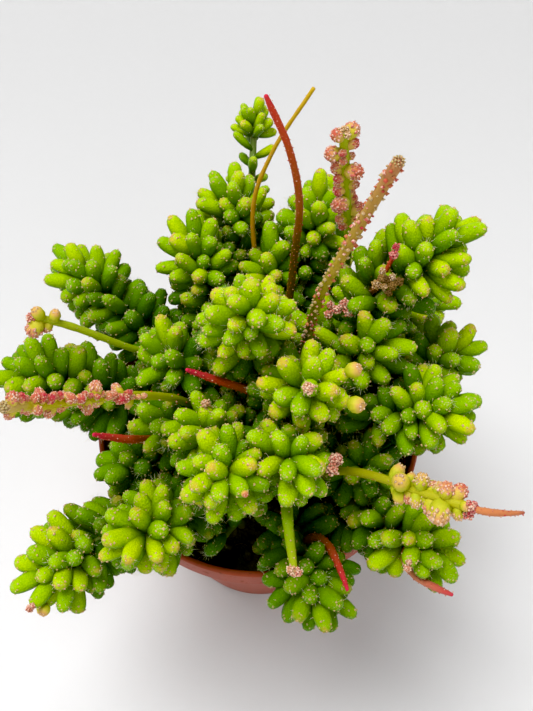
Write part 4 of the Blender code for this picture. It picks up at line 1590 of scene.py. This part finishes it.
def bud_form(rng):
    """A unit bud, with its root at zero and its crown at one, and a cap of knobbly scales."""
    def knobs():
        for index in range(BUD_KNOBS):
            lift = 0.05 + 0.93 * index / (BUD_KNOBS - 1)
            turn = index * GOLDEN_TURN + rng.uniform(-0.2, 0.2)
            yield round_spot(0.46 * math.sqrt(max(0.0, 1.0 - lift * lift)), turn, 0.5 + 0.46 * lift)

    core = rough_ball(rng, BALL_POINTS, 0.93, 1.07) * (0.47, 0.47, 0.5) + (0.0, 0.0, 0.5)
    return studded(rng, core, BALL_FACES, FLESH, knobs(), (0.08, 0.14))


def berry_form(rng):
    """A unit flower bud that is nearly open: a smooth ball with a flat tinted top."""
    rough = np.array([rng.uniform(0.96, 1.04) for _ in BALL_POINTS])[:, None]
    flat = np.minimum(BALL_POINTS[:, 2], 0.86)[:, None]
    core = np.hstack([BALL_POINTS[:, :2], flat]) * rough * (0.46, 0.46, 0.52) + (0.0, 0.0, 0.5)
    spots = (round_spot(0.20, index * GOLDEN_TURN, 0.93) for index in range(BERRY_BEADS))
    return studded(rng, core, BALL_FACES, FLESH, spots, (0.06, 0.11))


def crust_form(rng):
    """A unit bunch of withered buds: a lumpy ball of granules and nothing else."""
    def grains():
        for index in range(CRUST_GRAINS):
            lift = -1.0 + 2.0 * (index + 0.5) / CRUST_GRAINS
            turn = index * GOLDEN_TURN + rng.uniform(-0.3, 0.3)
            out = 0.42 * rng.uniform(0.75, 1.15)
            yield round_spot(out * math.sqrt(1.0 - lift * lift), turn, 0.5 + out * lift)

    core = rough_ball(rng, PAD_POINTS, 0.8, 1.1) * 0.36 + (0.0, 0.0, 0.5)
    return studded(rng, core, PAD_FACES, SCALE, grains(), (0.11, 0.18))


def unit_shapes(name, make):
    """A few shapes of one kind, whose points know how far up they lie."""
    shapes = [make(random.Random(f"{name} {index}")) for index in range(BUD_FORMS)]
    for shape in shapes:
        shape.along = np.clip(shape.points[:, 2], 0.0, 1.0)
    return shapes


BUD_SHAPES = unit_shapes("bud", bud_form)
BERRY_SHAPES = unit_shapes("berry", berry_form)
CRUST_SHAPES = unit_shapes("crust", crust_form)
print(BUD_FORMS, "bud shapes of", len(BUD_SHAPES[0].faces), "faces, as many round ones and bunches")

# %% [markdown]
# Light reaches only the outer crowns. A segment deep in a head stays darker, so each one is given a
# shade from how many crowns stand between it and the open.

# %% The shade
SHADE_REACH = 0.0070
SHADE_ASIDE = 0.0050
FULL_SHADE = 3.4
EVERY_SEGMENT = [segment for segments in SEGMENTS.values() for segment in segments]
EVERY_CROWN = np.array([segment.crown[:] for segment in EVERY_SEGMENT])


def shade_on(segment):
    """From 0 in the open to 1 deep in the plant."""
    away = EVERY_CROWN - np.array(segment.crown)
    ahead = away @ np.array(segment.along)
    apart = (away ** 2).sum(axis=1)
    aside = np.sqrt(np.maximum(0.0, apart - ahead ** 2))
    over = (ahead > 0.0005) & (ahead < SHADE_REACH) & (aside < SHADE_ASIDE)
    above = (away[:, 2] > 0.0005) & (away[:, 2] < 0.03) & (np.hypot(away[:, 0], away[:, 1]) < SHADE_ASIDE)
    return min(1.0, (over.sum() + 0.5 * above.sum()) / FULL_SHADE)


SHADES = {id(segment): shade_on(segment) for segment in EVERY_SEGMENT}
print("mean shade", round(sum(SHADES.values()) / len(SHADES), 2))

# %% [markdown]
# A few buds sit out on the heads, each on the crown of one segment: beige and pink bunches, round
# yellow buds, a brown dry tangle on the right-hand head with a crimson scrap above it.

# %% The buds on the heads
@dataclass(frozen=True)
class HeadBuds:
    """Buds on a head's crown nearest to a place: their size, colour, number and kind."""

    head: str
    near: tuple
    radius: float
    tone: float
    count: int = 1
    dry: bool = True


HEAD_BUDS = (
    HeadBuds("front_inner", (0.0185, -0.0377, 0.1424), 0.0016, 0.62, 3),
    HeadBuds("right_back", (0.0247, 0.0081, 0.1447), 0.0015, 0.70, 3),
    HeadBuds("right_back_inner", (0.0214, 0.0113, 0.1401), 0.0015, 0.62, 2),
    HeadBuds("crown_right", (0.0122, -0.0272, 0.1629), 0.0016, 0.35),
    HeadBuds("crown_right", (0.0229, -0.0202, 0.1580), 0.0026, 0.22, 1, False),
    HeadBuds("crown_right", (0.0232, -0.0275, 0.1552), 0.0025, 0.26, 1, False),
    HeadBuds("centre_left", (-0.0143, -0.0195, 0.1394), 0.0014, 0.40),
    HeadBuds("front", (-0.0041, -0.0487, 0.1491), 0.0012, 0.60, 1, False),
    HeadBuds("right_back", (0.0353, 0.0076, 0.1583), 0.0012, 0.080, 9),
    HeadBuds("right_back", (0.0371, 0.0126, 0.1658), 0.0012, 1.00, 2),
    HeadBuds("front_left_outer", (-0.0610, -0.0632, 0.1035), 0.0019, 0.30, 2, False),
    HeadBuds("front_left_outer", (-0.0626, -0.0584, 0.0971), 0.0018, 0.36, 2, False),
    HeadBuds("front_left_outer", (-0.0631, -0.0650, 0.1097), 0.0011, 0.55, 2),
    HeadBuds("front_right", (0.0391, -0.0591, 0.1239), 0.0010, 0.50, 2),
)


def kept_in(value):
    """A value kept between 0 and 1."""
    return min(1.0, max(0.0, value))


def stood_on(form, stretch, root, along, roll=0.0):
    """A shape's points, stretched, rolled, turned along a direction and set on its root."""
    turn = np.array(along.to_track_quat("Z", "Y").to_matrix())
    spin = np.array(Matrix.Rotation(roll, 3, "Z"))
    return (form.points * stretch) @ (turn @ spin).T + np.array(root)


def add_head_buds(heap, buds, segments, rng):
    """Stands the buds on their segment's crown, side by side when there are several."""
    host = min(segments, key=lambda segment: (segment.crown - Vector(buds.near)).length)
    tangled = buds.count > 4
    forms = CRUST_SHAPES if buds.dry else BERRY_SHAPES
    for index in range(buds.count):
        aside = buds.radius * ((2.2 if tangled and index % 2 else 1.0) if index else 0.0)
        out = leaning(host.along, index * math.tau / buds.count + 0.4, math.pi / 2)
        radius = buds.radius * rng.uniform(0.8, 1.15)
        root = host.crown + out * aside - host.along * radius * (0.5 if index else 0.3)
        along = (host.along + out * 0.5 * (buds.count > 1)).normalized()
        form = rng.choice(forms)
        tone = kept_in(buds.tone + rng.uniform(-0.08, 0.08) * (buds.tone < 1.0))
        heap.add(form, stood_on(form, radius * 2.0, root, along), tone=tone)


print(len(HEAD_BUDS), "places with buds on the heads")

# %% The leafy stems
BAR_SIDES = 10
BAR_STEP = 0.0016
TAPER_SHARE = 0.6
KNOBS_PER_METRE = 420.0
POINT_REACH = 0.006
OLD_BEHIND = 0.03


def bar_radius(route, back, foot_radius, tip_radius):
    """A bar's radius, which changes over the end of its route."""
    return tip_radius + (foot_radius - tip_radius) * min(1.0, back / (TAPER_SHARE * route.length))


def bar_body(route, foot_radius, tip_radius, sides, slot, knobs=0.04, seed=0, point_share=0.0):
    """A round bar along a route with a blunt tip and small swellings."""
    points, radii = [], []
    count = max(12, int(route.length / BAR_STEP))
    for index in range(count + 1):
        back = route.length * (1.0 - index / count)
        radius = bar_radius(route, back, foot_radius, tip_radius)
        radius *= 1.0 + knobs * noise.noise(Vector((back * KNOBS_PER_METRE, seed, 0.0)))
        radius *= 1.0 - point_share * (1.0 - min(1.0, back / POINT_REACH)) ** 2
        points.append(route.at(back)[0])
        radii.append(radius)
    end, along = route.at(0.0)
    for lift, share in ((0.45, 0.86), (0.80, 0.52), (0.95, 0.2)):
        points.append(end + along * tip_radius * lift * 0.6)
        radii.append(tip_radius * share * (1.0 - point_share))
    return thin_bar(points, radii, slot, sides)


def seated(segment, form, roll, share):
    """A full-size shape's points, stretched to the segment's size and stood on its place."""
    size = share * np.array((segment.radius / SEGMENT_RADIUS,) * 2 + (segment.length / SEGMENT_LENGTH,))
    return stood_on(form, size, segment.root, segment.along, roll)


def leafy_piece(stem):
    """One head: its woody stem, all its segments and the buds that sit on them."""
    rng = random.Random(f"{stem.name} forms")
    heap = Heap()
    heap.add(bar_body(leafy_route(stem, FINE_STATIONS), STEM_RADIUS, STEM_TIP_RADIUS, BAR_SIDES, BARK))
    for segment in SEGMENTS[stem.name]:
        form = rng.choice(FORMS)
        points = seated(segment, form, rng.uniform(0.0, math.tau), SMALLER.get(stem.name, 1.0))
        # tone: random per segment, shifted by the stem's `young`, which partly stands for painted light and
        # shade
        tone = kept_in(rng.random() + stem.young)
        # real age by how far behind the tip, plus painted shade from the crowns over the segment and the
        # stem's own painted shade
        age = 0.4 * min(1.0, segment.back / OLD_BEHIND) + 0.6 * SHADES[id(segment)] + stem.shady
        heap.add(form, points, tone=tone, age=kept_in(age))
    for buds in HEAD_BUDS:
        if "leafy_stem_" + buds.head == stem.name:
            add_head_buds(heap, buds, SEGMENTS[stem.name], rng)
    return dressed(stem.name + "_fine", heap.mesh(stem.name + "_fine", LEAFY_FINISHES), "segment_green",
                   stem.name)


leafy_pieces = [leafy_piece(stem) for stem in LEAFY_STEMS]
print(len(leafy_pieces), "leafy stems of", sum(len(piece.data.polygons) for piece in leafy_pieces), "faces")

# %% [markdown]
# The CAD's budded stems carry a few large buds. The real ones are crowded: buds of all sizes sit
# along the stem, and a bunch of them closes its end. They are added by the same fitting.

# %% More buds
BUD_PITCH = 0.00110
BUNCH = 9


def more_bud_places(shoot, rng):
    """Places for small buds between the large ones, and for a bunch round the tip."""
    places = [(0.0022, index * GOLDEN_TURN, 0.45 + 1.0 * index / BUNCH, 0.9) for index in range(BUNCH)]
    places += [(BUD_PITCH * index, index * GOLDEN_TURN * 1.3, 1.3, 0.82)
               for index in range(1, int(shoot.budded / BUD_PITCH))]
    for back, turn, lean, size in places:
        radius = shoot.bud_radius * size * rng.uniform(0.55, 1.10)
        length = (shoot.foot_radius + 1.75 * radius) if lean > 0.8 else 2.3 * radius
        yield back, turn + rng.uniform(-0.4, 0.4), lean, length, radius


BUD_FIT = Fit(SMALL_NUDGES, 0.80, FILL_CLEARANCE, 0.30)
for shoot in TALL_SHOOTS:
    if shoot.budded:
        rng = random.Random(f"{SEED} {shoot.name} more buds")
        BUDS[shoot.name] += grown(shoot.name, more_bud_places(shoot, rng), BUD_FIT)
print({name: len(buds) for name, buds in BUDS.items() if buds})

# %% [markdown]
# The bare shoots are young stems that haven't set segments yet. Their colour runs along them: brown
# at the root, red, then crimson at the growing tip, or olive and green. Small felted dots sit on
# them in a spiral, and on the budded ones round flower buds with pink scales.

# %% The shoots' finishes
def shoot_finish(name, freckle_colour, stops):
    """A colour that runs from root to tip, with fine freckles and a satin skin."""
    material, web = new_finish(name)
    along = mesh_value(web, "along")
    blotch = cloud(web, 0.0020, 4.0, 0.6)
    grain = cells(web, 0.0005)
    colour = (along + blotch * 0.16 - 0.08).clamped().ramp(*stops)
    freckles = grain.stepped(0.25, 0.05) * blotch.stepped(0.4, 0.6) * 0.5
    relief = (1 - grain) * 0.4 + blotch * 0.6
    return set_shader(
        material, Base_Color=mixed(freckles, colour, freckle_colour), Roughness=0.42 + blotch * 0.15,
        Normal=raised(web, relief, 0.00014),
        Subsurface_Weight=0.06, Subsurface_Radius=(1.0, 0.5, 0.2), Subsurface_Scale=0.001,
        Specular_IOR_Level=0.15)


SHOOT_COLOURS = {
    "shoot_red": ((0.78, 0.36, 0.24), (
        (0.0, 0.17, 0.075, 0.015), (0.30, 0.36, 0.090, 0.018),
        (0.62, 0.48, 0.040, 0.024), (0.82, 0.50, 0.010, 0.045),
        (1.0, 0.56, 0.010, 0.075))),
    "shoot_tall_red": ((0.78, 0.36, 0.24), (
        # the dark olive below 0.6 is partly the shoot's own colour and partly painted shade, where it runs
        # down among the heads
        (0.0, 0.09, 0.055, 0.002), (0.60, 0.13, 0.070, 0.003),
        (0.71, 0.34, 0.092, 0.018), (0.85, 0.42, 0.055, 0.013),
        (0.94, 0.50, 0.034, 0.016), (1.0, 0.56, 0.008, 0.055))),
    "shoot_yellow_brown": ((0.6, 0.45, 0.12), (
        (0.0, 0.22, 0.10, 0.020), (0.6, 0.42, 0.21, 0.012),
        (1.0, 0.55, 0.36, 0.012))),
    "stem_brownish_green": ((0.62, 0.24, 0.14), (
        (0.0, 0.10, 0.14, 0.002), (0.60, 0.19, 0.20, 0.004),
        (0.72, 0.39, 0.27, 0.030), (0.90, 0.46, 0.24, 0.060),
        (1.0, 0.44, 0.16, 0.080))),
    "stem_fresh_green": ((0.60, 0.56, 0.14), (
        (0.0, 0.08, 0.17, 0.003), (0.45, 0.17, 0.29, 0.004),
        (1.0, 0.36, 0.41, 0.010))),
    "stem_olive": ((0.60, 0.46, 0.12), (
        (0.0, 0.06, 0.11, 0.002), (0.40, 0.16, 0.19, 0.003),
        (1.0, 0.46, 0.44, 0.012))),
    "shoot_pink_brown": ((0.80, 0.50, 0.36), (
        (0.0, 0.50, 0.17, 0.070), (0.45, 0.56, 0.19, 0.100),
        (0.80, 0.52, 0.050, 0.060), (1.0, 0.50, 0.010, 0.060))),
    "stem_yellow_green": ((0.66, 0.34, 0.16), (
        (0.0, 0.10, 0.18, 0.003), (0.45, 0.28, 0.34, 0.006),
        (0.90, 0.44, 0.37, 0.010), (1.0, 0.60, 0.36, 0.150))),
    "shoot_orange_brown": ((0.72, 0.40, 0.25), (
        (0.0, 0.56, 0.20, 0.070), (0.68, 0.54, 0.18, 0.070),
        (0.86, 0.30, 0.020, 0.030), (1.0, 0.24, 0.015, 0.025))),
}
SHOOT_FINISHES = {name: shoot_finish(name, *colours) for name, colours in SHOOT_COLOURS.items()}
print(len(SHOOT_FINISHES), "shoot finishes")

# %% The shoots
SHOOT_SIDES = 16
DOT_PITCH = 0.0019
TALL_STEPS, SIDE_STATIONS = 9, 24
CAP_PADS = 26
ROUND_OVER = 0.0010
RED_WARTS = (0.00024, 0.00034, (FLESH, FLESH, SCALE))


@dataclass(frozen=True)
class Dressing:
    """What sets a shoot apart: a finish of its own, how thick it is, its warts (size,
    spacing, finishes), how much its buds have grown, their tones and the share of
    round ones, and the bunches round its tip (number, radius, tone)."""

    finish: str = ""
    slim: float = 1.0
    warts: tuple = ()
    growth: float = 1.0
    tones: tuple = ()
    round_share: float = 0.0
    bunches: tuple = ()


DRESSINGS = {
    "thick_stem_right": Dressing("", 0.80, (0.00064, 0.00042, (FLESH, SCALE, SCALE, FELT))),
    "budded_stem_left": Dressing(
        "stem_yellow_green", 0.85, (0.00036, 0.0016, (FLESH, SCALE)), 1.15, (0.55, 0.97), 0.25),
    "budded_stem_back": Dressing("", 1.0, (), 1.08, (0.62, 0.95), 0.0, (3, 0.0013, 0.30)),
    "budded_stem_left_back": Dressing("", 1.0, (), 1.28, (0.50, 0.97), 0.30, (3, 0.0014, 0.72)),
    "budded_stem_right": Dressing("stem_olive", 0.86, (), 1.28, (0.15, 0.80), 0.45, (5, 0.0015, 0.92)),
    "pale_shoot_front": Dressing("", 1.40, (0.00022, 0.0007, (FELT, FELT, SCALE)), bunches=(4, 0.0012, 0.40)),
    "red_shoot_tall": Dressing("shoot_tall_red", 1.12),
    "red_shoot_middle": Dressing("", 1.30),
    "red_shoot_left": Dressing("", 1.35),
    "red_shoot_front": Dressing("", 1.30),
    "red_shoot_front_right": Dressing("shoot_pink_brown", 1.40),
    "red_shoot_right": Dressing("shoot_orange_brown"),
}


def dots_on(heap, route, radii, rng, from_back, warts):
    """Felted dots, or warts where they are large, in a spiral down from the tip."""
    size, pitch, slots = warts
    for index in range(int(from_back / pitch)):
        back = pitch * (index + rng.uniform(0.2, 0.8))
        point, along = route.at(back)
        radius = bar_radius(route, back, *radii) + 0.3 * size
        out = leaning(along, index * GOLDEN_TURN + rng.uniform(-0.4, 0.4), math.pi / 2)
        dot = bead(rng, size * rng.uniform(0.5, 1.25), np.array(point + out * radius), rng.choice(slots))
        dot.along = np.ones(len(dot.points))
        heap.add(dot, tone=rng.uniform(0.55, 0.95))


def cap_on(heap, route, radius, rng):
    """A crust of felt over the growing tip of a warty stem."""
    end, along = route.at(0.0)
    for index in range(CAP_PADS):
        lean = math.acos(1.0 - (index + 0.5) / CAP_PADS * 1.1)
        out = leaning(along, index * GOLDEN_TURN, lean)
        spot = end + along * radius * 0.1 + out * radius * 0.95
        heap.add(bead(rng, rng.uniform(0.00028, 0.00048), np.array(spot), FELT), tone=rng.random())


def add_tip_crusts(heap, route, rng, count, radius, tone):
    """Bunches of small buds packed round the end of a shoot."""
    end, along = route.at(radius * 0.6)
    for index in range(count):
        out = leaning(along, index * GOLDEN_TURN, 0.35 + 1.0 * index / count)
        size = radius * rng.uniform(0.8, 1.15)
        form = rng.choice(CRUST_SHAPES)
        shade = min(1.0, tone + rng.uniform(-0.15, 0.15))
        heap.add(form, stood_on(form, size * 2.0, end + out * size * 0.25, out), tone=shade)


def shoot_piece(shoot):
    """One shoot: its bar, its dots or warts, and its buds where it has some."""
    rng = random.Random(f"{shoot.name} forms")
    tall = isinstance(shoot, TallShoot)
    dressing = DRESSINGS.get(shoot.name, Dressing())
    foot = (shoot.foot_radius if tall else shoot.radius) * dressing.slim
    tip = (shoot.tip_radius if tall else shoot.radius * 0.6) * dressing.slim
    if tall:
        route = tall_route(shoot, TALL_STEPS)
    else:
        route = side_route(shoot, ROUTES[shoot.parent], SIDE_STATIONS)
    heap = Heap()
    pointed = 0.32 if shoot.slot == "shoot_red" else 0.0
    heap.add(bar_body(route, foot, tip, SHOOT_SIDES, SKIN, 0.14, rng.uniform(0.0, 99.0), pointed))
    small = (0.00014 + 0.06 * tip, DOT_PITCH, (SCALE, FELT))
    warts = dressing.warts or (RED_WARTS if shoot.slot == "shoot_red" else small)
    dots_on(heap, route, (foot, tip), rng, route.length * (0.75 if tall else 0.9), warts)
    if dressing.warts:
        cap_on(heap, route, tip, rng)
    for bud in BUDS[shoot.name]:
        share = dressing.round_share * 2.0 * bud.back / shoot.budded
        round_bud = bud.radius > ROUND_OVER and rng.random() < share
        form = rng.choice(BERRY_SHAPES if round_bud else BUD_SHAPES)
        stretch = dressing.growth * np.array((bud.radius / 0.5, bud.radius / 0.5, bud.length))
        tone = rng.uniform(*dressing.tones) * (0.35 if round_bud else 1.0)
        heap.add(form, stood_on(form, stretch, bud.root, bud.along), tone=tone)
    if dressing.bunches:
        add_tip_crusts(heap, route, rng, *dressing.bunches)
    skin = SHOOT_FINISHES[dressing.finish or shoot.slot]
    finishes = (skin, FELT_FINISH, BRISTLE_FINISH, SCALE_FINISH, FLESH_FINISH)
    return dressed(shoot.name + "_fine", heap.mesh(shoot.name + "_fine", finishes), shoot.slot, shoot.name)


shoot_pieces = [shoot_piece(shoot) for shoot in TALL_SHOOTS + SIDE_SHOOTS]
print(len(shoot_pieces), "shoots of", sum(len(piece.data.polygons) for piece in shoot_pieces), "faces")
